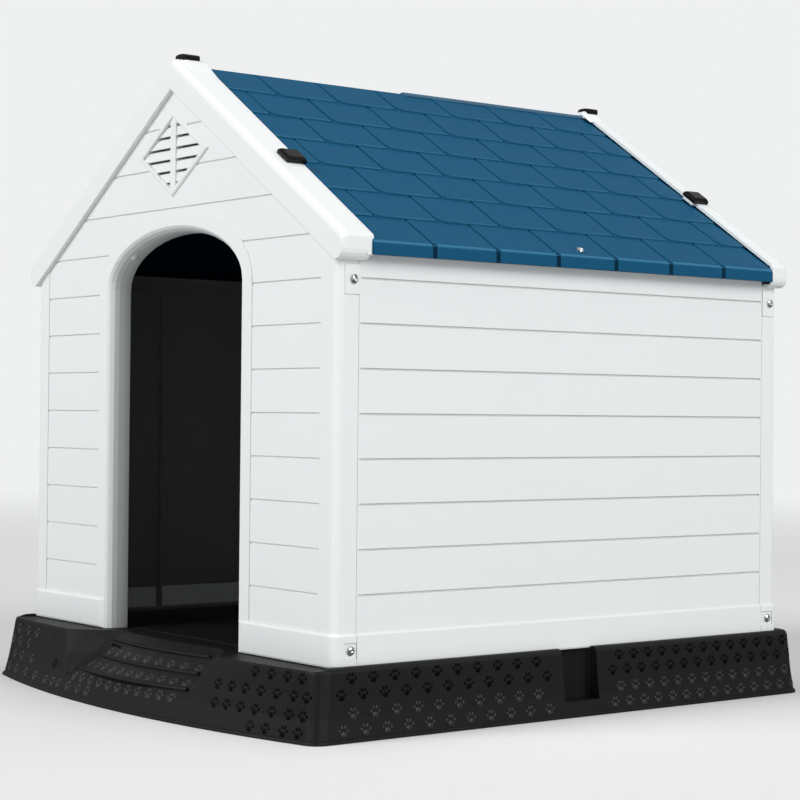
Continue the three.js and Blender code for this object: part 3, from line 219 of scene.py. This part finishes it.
def plastic(name, color, roughness, grain, grain_size, mottle=0.04, edge=0.0, specular=0.5, painted_shade_indoors=1.0,
            painted_bend_highlight=None):
    """Moulded plastic: a fine grain in the surface, a slight unevenness of gloss and of colour.

    edge rounds the edges' shading; the next to last argument is the share of the colour left within the
    cabin, as painted shade, and the last is the colour of a highlight painted where surfaces face like the
    drip's bend.
    """
    material, tree = new_material(name)
    at = tree.add("ShaderNodeTexCoord").outputs["Object"]
    cloud = tree.add("ShaderNodeTexNoise", {"Vector": at, "Scale": 9.0, "Detail": 4.0})
    dark = tuple(c * (1 - mottle) for c in color)
    light = tuple(min(c * (1 + mottle), 1.0) for c in color)
    tint = mixed(tree, cloud.outputs["Fac"], (*dark, 1.0), (*light, 1.0))
    # painted highlight on the drip's bend and on the bevels that face the same way
    if painted_bend_highlight:
        place = tree.add("ShaderNodeNewGeometry")
        facing = tree.add("ShaderNodeVectorMath", {0: place.outputs["Normal"]}, operation="ABSOLUTE")
        facing = tree.add("ShaderNodeVectorMath", {0: facing.outputs[0], 1: BEND_FACING},
                          operation="DOT_PRODUCT")
        share = tree.add("ShaderNodeMapRange", {"Value": facing.outputs["Value"], "From Min": 0.955,
                                                "From Max": 0.995, "To Max": 0.75})
        tint = mixed(tree, share.outputs[0], tint, (*painted_bend_highlight, 1.0))
    # painted shade: within the cabin the colour falls to its given share
    if painted_shade_indoors < 1.0:
        tint = mixed(tree, painted_cabin_shade_mask(tree), tint, (*(c * painted_shade_indoors for c in color), 1.0))
    gloss = tree.add("ShaderNodeTexNoise", {"Vector": at, "Scale": 40.0, "Detail": 3.0})
    rough = tree.add("ShaderNodeMapRange", {"Value": gloss.outputs["Fac"], "To Min": roughness - GLOSS_SPREAD,
                                            "To Max": roughness + GLOSS_SPREAD})
    fine = tree.add("ShaderNodeTexNoise", {"Vector": at, "Scale": 1.0 / grain_size, "Detail": 2.0})
    bump = tree.add("ShaderNodeBump", {"Height": fine.outputs["Fac"], "Strength": grain,
                                       "Distance": grain_size * 0.2})
    if edge:
        worn = tree.add("ShaderNodeBevel", {"Radius": edge}, samples=4)
        tree.link(worn.outputs[0], bump.inputs["Normal"])
    shader = tree.add("ShaderNodeBsdfPrincipled", {"Base Color": tint, "Roughness": rough.outputs[0],
                                                   "Specular IOR Level": specular,
                                                   "Normal": bump.outputs[0]})
    tree.add("ShaderNodeOutputMaterial", {"Surface": shader.outputs[0]})
    return material


# white and blue keep a fifth of their colour within the cabin: painted shade
WHITE = plastic("white_plastic", (0.83, 0.86, 0.86), 0.42, 0.15, 0.0012, 0.01, edge=0.0009, painted_shade_indoors=0.2)
# blue also carries a highlight painted on the bend of its drip
BLUE = plastic("blue_plastic", (0.005, 0.082, 0.172), 0.50, 0.25, 0.0010, edge=0.0005, specular=0.08,
               painted_shade_indoors=0.2, painted_bend_highlight=(0.05, 0.20, 0.33))
BLACK = plastic("black_plastic", (0.0075, 0.0075, 0.0075), 0.52, 0.6, 0.0008, edge=0.0009, specular=0.17)
# near-black blue for the gaps in the drip: painted shade
BLUE_GAP_SHADE = plastic("blue_gap_painted_shade", (0.001, 0.022, 0.048), 0.6, 0.2, 0.0010, specular=0.05)
# a lighter blue for the ridge's lap: painted highlight
BLUE_LAP_HIGHLIGHT = plastic("blue_lap_painted_highlight", (0.055, 0.135, 0.215), 0.45, 0.25, 0.0010, edge=0.0005, specular=0.2)
# the same pads in a darker and a lighter copy, set by where their gloss mirrors dark and bright surroundings:
# painted reflection
PAW_DARK_REFLECTION = plastic("paw_painted_dark_reflection", (0.0008, 0.0008, 0.0008), 0.45, 0.1, 0.0008, specular=0.06)
PAW_BRIGHT_REFLECTION = plastic("paw_light", (0.022, 0.022, 0.022), 0.36, 0.1, 0.0008, specular=0.35)
GLOSS_BLACK = plastic("gloss_black_plastic", (0.003, 0.003, 0.003), 0.20, 0.05, 0.0008, edge=0.0006,
                      specular=0.22)


def steel():
    material, tree = new_material("screw_steel")
    place = tree.add("ShaderNodeTexCoord")
    noise = tree.add("ShaderNodeTexNoise", {"Vector": place.outputs["Object"], "Scale": 900.0, "Detail": 2.0})
    rough = tree.add("ShaderNodeMapRange", {"Value": noise.outputs["Fac"], "To Min": 0.14, "To Max": 0.3})
    shader = tree.add("ShaderNodeBsdfPrincipled", {"Base Color": (0.62, 0.63, 0.64, 1.0), "Metallic": 1.0,
                                                   "Roughness": rough.outputs[0]})
    tree.add("ShaderNodeOutputMaterial", {"Surface": shader.outputs[0]})
    return material


STEEL = steel()


def dress(obj, material):
    obj.data.materials.clear()
    obj.data.materials.append(material)


def smooth(obj, degrees=35.0):
    """Round faces shade smooth, and flat faces stay flat right up to their edges."""
    mesh = obj.data
    mesh.polygons.foreach_set("use_smooth", [True] * len(mesh.polygons))
    mesh.set_sharp_from_angle(angle=math.radians(degrees))
    weighted = obj.modifiers.new("even", "WEIGHTED_NORMAL")
    weighted.keep_sharp = True
    weighted.weight = 80


LOOKS = {"base": BLACK, "roof_panel": BLUE, "roof_clip": GLOSS_BLACK, "screw": STEEL, "roof_screw": STEEL}
for name, obj in nodes.items():
    starts = [key for key in LOOKS if name.startswith(key)]
    dress(obj, LOOKS[starts[0]] if starts else WHITE)
    smooth(obj)


class Solid:
    """Collects faces for one object."""

    def __init__(self):
        self.verts = []
        self.faces = []

    def grid(self, rows, closed=False):
        """Quads between rows of points, counted so that the faces look to the left of rows-then-columns."""
        start = len(self.verts)
        width = len(rows[0])
        for row in rows:
            self.verts.extend(row)
        for i in range(len(rows) - 1):
            for j in range(width if closed else width - 1):
                k = (j + 1) % width
                a = start + i * width
                self.faces.append((a + j, a + k, a + width + k, a + width + j))

    def fan(self, ring):
        start = len(self.verts)
        self.verts.extend(ring)
        self.faces.append(tuple(range(start, start + len(ring))))

    def build(self, name, material, slot, angle=35.0):
        obj = mesh_object(name, self.verts, self.faces)
        obj.data.materials.append(material)
        smooth(obj, angle)
        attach(obj, "root")
        return obj


# ---------------------------------------------------------------- shingles
SLOT = 0.0007  # half of a slot's width
FRONT_LIFT, BACK_LIFT = 0.0012, 0.0004  # a shingle stands proud at its front edge and sinks towards its back
CORNER = 0.0055  # rounding of a shingle's foot beside a slot
WEDGE_WIDTH, WEDGE_LENGTH = 0.0075, 0.0045  # the slot's widening at the top of a shingle
SINK = 0.0006  # the sides reach this far below the surface
SHINGLE_BEVEL, BEVEL_DROP = 0.0005, 0.0003
FOOT_DROP = 0.0004
DRIP_GAP, DRIP_GAP_RISE = 0.0036, 0.0035  # the gap between two shingles in the drip, and how far up it goes
BEND_STEPS = 4


def on_slope(s, d):
    return (s * COS + d * SIN, RAKE_APEX - s * SIN + d * COS)


def shingle_path(course):
    """Points down one course, as (x, z, normal x, normal z, s)."""
    low = EAVE_S - course * COURSE_LENGTH
    high = low - COURSE_LENGTH
    if course == COURSES - 1:
        high = max(high, -0.012)
    start, rise = low - COURSE_LENGTH, (COURSE_LOW - COURSE_HIGH) / COURSE_LENGTH
    stops = [high - 0.0008, high + WEDGE_LENGTH * 0.4, high + WEDGE_LENGTH, high + 0.012, (low + high) / 2]
    if course > 0:
        stops += [low - CORNER, low - CORNER * 0.6, low - CORNER * 0.25, low - CORNER * 0.06, low + 0.0004]
    else:
        stops += [low - 0.014, low - 0.0044]
    points = []
    for s in stops:
        x, z = on_slope(s, COURSE_HIGH + rise * (s - start))
        points.append((x, z, SIN, COS, s))
    if course == 0:
        reach = EAVE_X - x
        for step in range(1, BEND_STEPS + 1):
            share = step / BEND_STEPS
            angle = (math.pi / 2 - PITCH) * (1 - share)
            bend = math.cos(angle) - math.cos(math.pi / 2 - PITCH)
            nx, nz = math.cos(angle), math.sin(angle)
            px = x + reach * math.sin(share * math.pi / 2) ** 0.9
            pz = z - (z - (DRIP_TOP - 0.0008)) * share ** 1.35
            points.append((px, pz, nx, nz, low - 0.0044 + bend * 0.001))
        points.append((EAVE_X, DRIP_BOTTOM + 0.0004, 1.0, 0.0, low))
        points.append((EAVE_X - 0.0004, DRIP_BOTTOM + 0.0001, 0.9, -0.44, low))
    return points, low, high


def shingle(solid, course, y0, y1, left_is_slot, right_is_slot, side):
    """One shingle from y0 to y1. Its top widens the slot at y1, and its foot is rounded at y0."""
    path, low, high = shingle_path(course)
    rows = []
    count = len(path)
    for index, (x, z, nx, nz, s) in enumerate(path):
        left, right = y0, y1
        if left_is_slot:
            left += SLOT
            if course > 0 and s > low - CORNER:
                t = min((s - (low - CORNER)) / CORNER, 1.0)
                left += CORNER * 1.3 * (1 - math.sqrt(max(0.0, 1 - t * t)))
            if course == 0 and z < DRIP_TOP + DRIP_GAP_RISE:
                left += DRIP_GAP
        if right_is_slot:
            right -= SLOT
            if s < high + WEDGE_LENGTH:
                right -= WEDGE_WIDTH * (1 - max(s - high, 0.0) / WEDGE_LENGTH)
        last = index == count - 1
        row = []
        for y, drop in ((left, BEVEL_DROP), (left + SHINGLE_BEVEL, 0.0), (right - SHINGLE_BEVEL, 0.0),
                        (right, BEVEL_DROP)):
            lift = FRONT_LIFT + (BACK_LIFT - FRONT_LIFT) * (y - y0) / SHINGLE_WIDTH - drop
            if last:
                lift -= FOOT_DROP
            row.append((side * (x + nx * lift), y, z + nz * lift))
        foot_left = (side * (x - nx * SINK), left, z - nz * SINK)
        foot_right = (side * (x - nx * SINK), right, z - nz * SINK)
        rows.append([foot_left] + row + [foot_right])
    x, z, nx, nz, s = path[-1]
    rows.append([(side * (x - nx * SINK), p[1], z - nz * SINK) for p in rows[-1]])
    if side < 0:
        rows = [list(reversed(row)) for row in rows]
    solid.grid(rows)


def slab(solid, x0, x1, y0, y1, z0, z1, side):
    """A plain small block, given on the right and mirrored for the left."""
    rows = []
    for y in (y0, y1):
        row = [(side * x0, y, z0), (side * x1, y, z0), (side * x1, y, z1), (side * x0, y, z1)]
        rows.append(row if side > 0 else row[::-1])
    solid.grid(rows, closed=True)
    solid.fan(rows[0][::-1])
    solid.fan(rows[1])


for side, label in ((1, "right"), (-1, "left")):
    tiles = Solid()
    gap_shades = Solid()
    for course in range(COURSES):
        offset = SHINGLE_WIDTH / 2 if course % 2 == 0 else 0.0
        first = MIDDLE + offset
        while first - SHINGLE_WIDTH > ROOF_FRONT + 0.0022:
            first -= SHINGLE_WIDTH
        slots = [first]
        while slots[-1] + SHINGLE_WIDTH < ROOF_BACK - 0.0022:
            slots.append(slots[-1] + SHINGLE_WIDTH)
        edges = [ROOF_FRONT + 0.0003] + slots + [ROOF_BACK - 0.0003]
        for i in range(len(edges) - 1):
            shingle(tiles, course, edges[i], edges[i + 1], i > 0, i < len(edges) - 2, side)
        # a dark block in each gap of the drip: painted shade
        if course == 0:
            for y in slots:
                if ROOF_FRONT < y < ROOF_BACK - 0.006:
                    slab(gap_shades, EAVE_X - 0.001, EAVE_X + 0.0002, y - SLOT, y + SLOT + DRIP_GAP,
                         DRIP_BOTTOM + 0.0002, DRIP_TOP + 0.0014, side)
    tiles.build("shingles_" + label, BLUE, "blue_plastic", 50.0)
    gap_shades.build("drip_gap_shades_" + label, BLUE_GAP_SHADE, "blue_plastic", 30.0)


# ---------------------------------------------------------------- rake edges, crowns and the roof's lap
RAKE_TOP = 0.0284  # the white rakes' top face above the rake line
FRONT_RAKE_BACK = BOARD_PLANE + 0.030


def prism(solid, outline, y0, y1, bevel=0.0008, steps=3):
    """A bar along y, rounded at both ends. Its closed outline of (x, z) runs anticlockwise from the front."""
    cx = sum(x for x, _ in outline) / len(outline)
    cz = sum(z for _, z in outline) / len(outline)
    half_x = max(abs(x - cx) for x, _ in outline)
    half_z = max(abs(z - cz) for _, z in outline)
    rows = []
    for end, sign in ((y0, 1), (y1, -1)):
        part = []
        for step in range(steps + 1):
            angle = math.pi / 2 * step / steps
            inset, along = bevel * (1 - math.sin(angle)), bevel * (1 - math.cos(angle))
            fx, fz = 1 - inset / half_x, 1 - inset / half_z
            part.append([(cx + (x - cx) * fx, end + sign * along, cz + (z - cz) * fz) for x, z in outline])
        rows += part if sign > 0 else part[::-1]
    solid.grid(rows, closed=True)
    solid.fan(rows[0][::-1])
    solid.fan(rows[-1])


# the front rake's back edge, wider towards the apex, over the ends of the shingles and round the rake's tail
TAIL_X = max(corner[0] for corner in nodes["front_panel"].bound_box) + 0.0001
TAIL_ROUND = 0.0060
BAND_BACK = -0.2528  # the band's back edge at the apex
BAND_SLANT = 0.0028  # how far forward that edge comes by the tail
TAIL_START = (TAIL_X - TAIL_ROUND + TAIL_ROUND * SIN - RAKE_TOP * SIN) / COS
band_path = []
for i in range(13):
    x, z = on_slope(0.004 + (TAIL_START - 0.004) * i / 12, RAKE_TOP)
    band_path.append((x, z, SIN, COS))
round_x, round_z = x - TAIL_ROUND * SIN, z - TAIL_ROUND * COS
for i in range(1, 7):
    angle = (math.pi / 2 - PITCH) * (1 - i / 6)
    nx, nz = math.cos(angle), math.sin(angle)
    band_path.append((round_x + TAIL_ROUND * nx, round_z + TAIL_ROUND * nz, nx, nz))
band_path.append((TAIL_X, DRIP_BOTTOM - 0.0006, 1.0, 0.0))
bands = Solid()
for side in (1, -1):
    rows = []
    for i, (x, z, nx, nz) in enumerate(band_path):
        back = BAND_BACK - BAND_SLANT * i / (len(band_path) - 1)
        row = []
        for y, depth in ((FRONT_RAKE_BACK - 0.004, 0.0004), (FRONT_RAKE_BACK - 0.001, -0.0001),
                         (back - 0.0016, -0.0001), (back - 0.0004, 0.0005), (back, 0.0018), (back, 0.0065),
                         (FRONT_RAKE_BACK - 0.004, 0.0065)):
            row.append((side * (x - nx * depth), y, z - nz * depth))
        rows.append(row if side > 0 else row[::-1])
    bands.grid(rows, closed=True)
    bands.fan(rows[0][::-1])
    bands.fan(rows[-1])
bands.build("rake_edges", WHITE, "white_plastic", 40.0)

# rounded crowns at both apexes, under the clips: distance from the middle, and rise above the rakes
CROWN = ((0.0, 0.0006), (0.003, 0.0022), (0.006, 0.0036), (0.009, 0.0043), (0.013, 0.0041), (0.018, 0.0028),
         (0.024, 0.0012), (0.030, 0.0003), (0.034, -0.0006))
CROWN_HALF, CROWN_DROP = 0.036, 0.0046
SHARP_APEX = RAKE_APEX + RAKE_TOP / COS


def crown(name, y0, y1, squeeze):
    """A crown from y0 to y1, its width times squeeze, that slopes down at both ends."""
    solid = Solid()
    spans = [(x * squeeze, SHARP_APEX - x * squeeze * SIN / COS + rise) for x, rise in CROWN]
    line = [(-x, z) for x, z in reversed(spans[1:])] + spans
    rows = []
    for y, share in ((y0, 0.0), (y0 + 0.0006, 0.35), (y0 + 0.0018, 0.72), (y0 + 0.0036, 0.95),
                     (y0 + 0.0055, 1.0), (y1 - 0.0018, 1.0), (y1 - 0.0006, 0.85), (y1, 0.5), (y1, -0.6)):
        drop = (1 - share) * CROWN_DROP
        rows.append([(x, y, z - drop * (1 - (x / CROWN_HALF / squeeze) ** 2)) for x, z in line])
    solid.grid([row[::-1] for row in rows])
    solid.build(name, WHITE, "white_plastic", 60.0)


crown("rake_crown_front", -0.2840, -0.2528, 1.0)
crown("rake_crown_back", 0.3110, 0.3375, 0.62)


CAP_HALF, CAP_TOP, CAP_FOOT = 0.0092, 0.7083, 0.6990


def cap(name, node, y0, y1):
    """An apex clip: a bevelled block that sits down in the crown."""
    solid = Solid()
    shoulder = [(CAP_HALF, CAP_TOP - 0.0026), (CAP_HALF - 0.0008, CAP_TOP - 0.0013),
                (CAP_HALF - 0.0024, CAP_TOP - 0.0005)]
    outline = [(-CAP_HALF, CAP_FOOT), (CAP_HALF, CAP_FOOT)] + shoulder + [(0.0, CAP_TOP)]
    outline += [(-x, z) for x, z in reversed(shoulder)]
    prism(solid, outline, y0, y1, bevel=0.0011)
    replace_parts(solid.build(name, GLOSS_BLACK, "gloss_black_plastic", 30.0), node)


cap("apex_clip_front", "roof_clip_front_apex", -0.2822, -0.2612)
cap("apex_clip_back", "roof_clip_back_apex", 0.3165, 0.3350)

# the left roof panel laps over the right one along the back half of the ridge, in a lighter blue: a painted
# highlight
RIDGE_Z = RAKE_APEX + (COURSE_HIGH + FRONT_LIFT) / COS
lap = Solid()
lap_line = [(-0.0130, -0.0004), (-0.0122, 0.0009), (-0.0080, 0.0016), (-0.0035, 0.0018), (-0.0012, 0.0012),
            (0.0, 0.0008), (0.0012, 0.0014), (0.0030, 0.0024), (0.0046, 0.0028), (0.0054, 0.0024),
            (0.0058, 0.0014), (0.0058, 0.0004)]
lap_outline = [(x, RIDGE_Z - abs(x) * SIN / COS + rise / COS) for x, rise in lap_line]
lap_outline += [(0.0, RIDGE_Z - 0.0060)]
prism(lap, lap_outline[::-1], MIDDLE, 0.3140, bevel=0.0005)
lap.build("ridge_lap", BLUE_LAP_HIGHLIGHT, "blue_plastic", 30.0)

# the top edge of each side wall, up behind the drip of the roof
for side, label in ((1, "right"), (-1, "left")):
    edge = Solid()
    outline = [(0.3030, 0.4600), (0.30745, 0.4600), (0.30745, 0.4815), (0.3066, 0.4828), (0.3030, 0.4830)]
    outline = [(side * x, z) for x, z in (outline if side > 0 else outline[::-1])]
    prism(edge, outline, -0.2600, 0.3150, bevel=0.0005)
    edge.build("wall_edge_" + label, WHITE, "white_plastic", 30.0)

# ---------------------------------------------------------------- vent blades and door bosses
VENT_Z, VENT_HALF_X, VENT_HALF_Z = 0.5985, 0.0620, 0.0405
BLADE_PITCH, BLADE_GAP, BLADES = 0.01264, 0.0024, 7
LOWEST_BLADE = VENT_Z - BLADES / 2 * BLADE_PITCH + 0.0008
BLADE_THICKNESS = 0.0012


def vent_half(z):
    return max(VENT_HALF_X * (1 - abs(z - VENT_Z) / VENT_HALF_Z) - 0.0001, 0.0)


blades = Solid()
for plane, inward in ((BOARD_PLANE, 1), (BOARD_PLANE + HOUSE_DEPTH, -1)):
    for i in range(BLADES):
        low = max(LOWEST_BLADE + i * BLADE_PITCH, VENT_Z - VENT_HALF_Z + 0.0006)
        high = min(LOWEST_BLADE + (i + 1) * BLADE_PITCH - BLADE_GAP, VENT_Z + VENT_HALF_Z - 0.0006)
        if high - low < 0.001:
            continue
        levels = {low, low + 0.0006, high - 0.0004, high}
        if low < VENT_Z < high:
            levels.add(VENT_Z)
        rows = []
        for z in sorted(levels):
            lean = 0.0007 + 0.0016 * (z - low) / BLADE_PITCH
            if z == low or z == high:
                lean += 0.0004
            half = vent_half(z)
            outer, inner = plane + inward * lean, plane + inward * (lean + BLADE_THICKNESS)
            row = [(-half, inner, z), (-half, outer, z), (half, outer, z), (half, inner, z)]
            rows.append(row if inward > 0 else row[::-1])
        blades.grid(rows, closed=True)
        blades.fan(rows[0][::-1])
        blades.fan(rows[-1])
blades.build("vent_blades", WHITE, "white_plastic", 30.0)

BOSS_RADIUS, BOSS_SIDES = 0.0042, 20
BOSS_DOME = ((1.0, -0.0006), (0.97, 0.0008), (0.80, 0.0016), (0.45, 0.0019), (0.02, 0.0020))
bosses = Solid()
for side in (1, -1):
    centre = Vector((side * 0.1036, -0.2750, 0.4911))
    normal = Vector((-side * 0.45, 0.0, -0.89)).normalized()
    along = Vector((0, 1, 0))
    across = along.cross(normal).normalized()
    rings = []
    for radius, lift in BOSS_DOME:
        ring = []
        for k in range(BOSS_SIDES):
            turn = 2 * math.pi * k / BOSS_SIDES
            u, v = BOSS_RADIUS * radius * math.cos(turn), -BOSS_RADIUS * radius * math.sin(turn)
            ring.append(tuple(centre + along * u + across * v + normal * lift))
        rings.append(ring)
    bosses.grid(rings, closed=True)
bosses.build("door_bosses", WHITE, "white_plastic", 40.0)

# ---------------------------------------------------------------- screws with a cross recess
HEAD_RADIUS, HEAD_SIDE, HEAD_DOME = 0.0045, 0.0012, 0.0017
SHANK_RADIUS, SHANK_SIDES = 0.0020, 32
CROSS_HALF_WIDTH, CROSS_REACH, CROSS_DEPTH = 0.11, 0.50, 0.0013  # the first two as shares of the radius
HALF_LINES = (CROSS_HALF_WIDTH, 0.17, 0.32, CROSS_REACH, 0.58, 0.72, 0.86, 0.95, 1.0)
HEAD_LINES = tuple(-line for line in reversed(HALF_LINES)) + (0.0,) + HALF_LINES
WALL_SCREW_X, WALL_SCREW_LENGTH = 0.3086, 0.0140
ROOF_SCREW_TOP, ROOF_SCREW_LENGTH = (0.31484, 0.02475, 0.49533), 0.0310


def screw_head(name, node, foot, axis, length, turn):
    """A pan head: dome, straight side, cross recess and plain shank."""
    axis = axis.normalized()
    aside = axis.cross(Vector((0, 0, 1))).normalized()
    aside = Matrix.Rotation(turn, 3, axis) @ aside
    over = axis.cross(aside).normalized()
    solid = Solid()

    def spot(u, v, lift):
        return tuple(foot + aside * u + over * v + axis * lift)

    rows = []
    for v in HEAD_LINES:
        row = []
        for u in HEAD_LINES:
            across, along = u * math.sqrt(1 - v * v / 2), v * math.sqrt(1 - u * u / 2)
            r = min(math.hypot(across, along), 1.0)
            lift = HEAD_SIDE + HEAD_DOME * (1 - r ** 2.4)
            if min(abs(u), abs(v)) <= CROSS_HALF_WIDTH and max(abs(u), abs(v)) <= CROSS_REACH:
                lift -= CROSS_DEPTH * (1 - max(abs(u), abs(v)) / 0.62)
            row.append(spot(across * HEAD_RADIUS, along * HEAD_RADIUS, lift))
        rows.append(row)
    solid.grid(rows)
    rings = []
    for radius, lift in ((HEAD_RADIUS, HEAD_SIDE), (HEAD_RADIUS, 0.0), (SHANK_RADIUS, 0.0),
                         (SHANK_RADIUS, -length)):
        turns = [2 * math.pi * k / SHANK_SIDES for k in range(SHANK_SIDES)]
        rings.append([spot(radius * math.cos(angle), radius * math.sin(angle), lift) for angle in turns])
    solid.grid(rings, closed=True)
    obj = solid.build(name, STEEL, "screw_steel", 32.0)
    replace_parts(obj, node)


for name in list(nodes):
    if name.startswith("screw_"):
        box = [nodes[name].matrix_world @ Vector(corner) for corner in nodes[name].bound_box]
        low = Vector(min(c[i] for c in box) for i in range(3))
        high = Vector(max(c[i] for c in box) for i in range(3))
        side = 1 if low.x > 0 else -1
        foot = Vector((side * WALL_SCREW_X, (low.y + high.y) / 2, (low.z + high.z) / 2))
        turn = {"front": 0.5, "back": 1.1}[name.split("_")[1]] + (0.4 if name.endswith("low") else 0.0)
        screw_head(name + "_head", name, foot, Vector((side, 0, 0)), WALL_SCREW_LENGTH, turn)
    elif name.startswith("roof_screw_"):
        side = 1 if name.endswith("right") else -1
        axis = Vector((side * SIN, 0, COS))
        x, y, z = ROOF_SCREW_TOP
        foot = Vector((side * x, y, z)) - axis * 0.0030
        screw_head(name + "_head", name, foot, axis, ROOF_SCREW_LENGTH, 0.3)

# ---------------------------------------------------------------- paw prints on the base
base_shape = BVHTree.FromObject(nodes["base"], bpy.context.evaluated_depsgraph_get())
base_matrix = nodes["base"].matrix_world.copy()
base_inverse = base_matrix.inverted()


def on_base(point, away):
    """The base's surface met from outside, looking back along away: place and normal."""
    start = base_inverse @ (point + away * 0.05)
    heading = (base_inverse.to_3x3() @ -away).normalized()
    place, normal, _, _ = base_shape.ray_cast(start, heading, 0.12)
    if place is None:
        return None, None
    return base_matrix @ place, (base_matrix.to_3x3() @ normal).normalized()


# one print in its own plane: x along the row, y up, then the two half sizes and the lean of each pad
PADS = ((0.0, -0.22, 0.30, 0.24, 0.0), (-0.40, 0.04, 0.115, 0.17, 0.35), (-0.15, 0.32, 0.12, 0.18, 0.12),
        (0.15, 0.32, 0.12, 0.18, -0.12), (0.40, 0.04, 0.115, 0.17, -0.35))
PAD_SIDES = 10
PAW_SIZE = 0.0125


def paw(solid, point, away, width=PAW_SIZE, height=PAW_SIZE, rise=0.0004):
    """Five low domes that lie on the base; a print that would hang over an edge is left out."""
    centre, normal = on_base(point, away)
    if centre is None:
        return
    across = Vector((0, 0, 1)).cross(normal).normalized()
    up = normal.cross(across).normalized()
    rings = []
    for px, py, rx, ry, tilt in PADS:
        cos_tilt, sin_tilt = math.cos(tilt), math.sin(tilt)
        pad = []
        for radius, lift in ((1.0, -0.00012), (0.93, rise * 0.45), (0.62, rise), (0.0, rise * 1.15)):
            for k in range(PAD_SIDES if radius else 1):
                turn = 2 * math.pi * k / PAD_SIDES
                u = px + radius * (rx * math.cos(turn) * cos_tilt - ry * math.sin(turn) * sin_tilt)
                v = py + radius * (rx * math.cos(turn) * sin_tilt + ry * math.sin(turn) * cos_tilt)
                spot, facing = on_base(centre + across * (u * width) + up * (v * height), normal)
                if spot is None or (spot - centre).dot(normal) < -0.0035 or facing.dot(normal) < 0.6:
                    return
                pad.append(spot + facing * lift)
        rings.append(pad)
    for pad in rings:
        start = len(solid.verts)
        solid.verts.extend(tuple(spot) for spot in pad)
        for ring in range(2):
            for k in range(PAD_SIDES):
                j = (k + 1) % PAD_SIDES
                a, b = start + ring * PAD_SIDES, start + (ring + 1) * PAD_SIDES
                solid.faces.append((a + k, a + j, b + j, b + k))
        tip = start + 3 * PAD_SIDES
        last = start + 2 * PAD_SIDES
        solid.faces.extend((last + k, last + (k + 1) % PAD_SIDES, tip) for k in range(PAD_SIDES))


# painted reflection: a darker copy where the pads mirror dark surroundings, a lighter copy where they mirror
# bright ones
paws_dark_reflection, paws_bright_reflection = Solid(), Solid()
RIGHT, FRONT = Vector((1, 0, 0)), Vector((0, -1, 0))
NOTCH_Y = (BOARD_PLANE + 0.276, BOARD_PLANE + 0.352)
ROW_HEIGHTS = (0.0605, 0.0450, 0.0265, 0.0105)
SIDE_PITCH, BACK_PITCH = 0.0266, 0.0217  # along the sides, before and behind the notch
REAR_PITCH = 0.0245
for row, z in enumerate(ROW_HEIGHTS):
    shift = 0.5 if row % 2 else 0.0
    target = paws_dark_reflection if row < 2 else paws_bright_reflection
    spots = [-0.2752 + SIDE_PITCH * (i - shift) for i in range(13)]
    spots += [0.0607 + BACK_PITCH * (i + 1 - shift) for i in range(14)]
    for y in spots:
        if NOTCH_Y[0] < y < NOTCH_Y[1] or y < -0.33:
            continue
        for away in (RIGHT, -RIGHT):
            paw(target, Vector((0.325 * away.x, y, z)), away)
    for i in range(-12, 13):
        x = (i + shift) * REAR_PITCH
        if abs(x) < 0.31:
            paw(target, Vector((x, 0.36, z)), -FRONT)
# the front, beside the step: each row's places across and its height
FRONT_ROWS = (((0.2249, 0.2500, 0.2750, 0.2990), 0.0610),
              ((0.1720, 0.1941, 0.2157, 0.2399, 0.2634, 0.2880, 0.3125), 0.0435),
              ((0.1752, 0.1942, 0.2155, 0.2377, 0.2616, 0.2853, 0.3093), 0.0255),
              ((0.2369, 0.2586, 0.2828, 0.3044), 0.0095))
for places, z in FRONT_ROWS:
    for x in places:
        away = (FRONT + RIGHT * max(0.0, (x - 0.29) * 14)).normalized()
        paw(paws_dark_reflection, Vector((x, -0.34, z)), away)
LEFT_ROWS = (((0.2328, 0.2587, 0.2886), 0.0565), ((0.2506, 0.2803, 0.3025), 0.0425),
             ((0.2305, 0.2645, 0.2903), 0.0270),
             ((0.0596, 0.0811, 0.1075, 0.1338, 0.1500, 0.1709, 0.2060, 0.2366, 0.2711, 0.3000), 0.0110))
for places, z in LEFT_ROWS:
    for x in places:
        paw(paws_bright_reflection, Vector((-x, -0.345, z)), FRONT)
paw(paws_dark_reflection, Vector((-0.1454, -0.336, 0.0440)), FRONT, 0.0170, 0.0150)
paw(paws_dark_reflection, Vector((-0.1615, -0.340, 0.0300)), FRONT, 0.0130, 0.0130)
# between the ribs of the step
STEP_UP = Vector((0, -0.5, 0.85)).normalized()
STEP_ROWS = ((9, -0.0816, 0.0975, -0.3200, 0.0500, 0.9), (11, -0.0926, 0.1037, -0.3400, 0.0362, 1.0),
             (11, -0.1029, 0.1023, -0.3515, 0.0212, 0.5))
for count, first, last, y, z, bow in STEP_ROWS:
    for i in range(count):
        x = first + (last - first) * i / (count - 1)
        paw(paws_bright_reflection, Vector((x, y + bow * x * x, z)), STEP_UP, width=0.0120, rise=0.0003)
paws_dark_reflection.build("paw_prints_painted_dark", PAW_DARK_REFLECTION, "black_plastic", 60.0)
paws_bright_reflection.build("paw_prints_light", PAW_BRIGHT_REFLECTION, "black_plastic", 60.0)
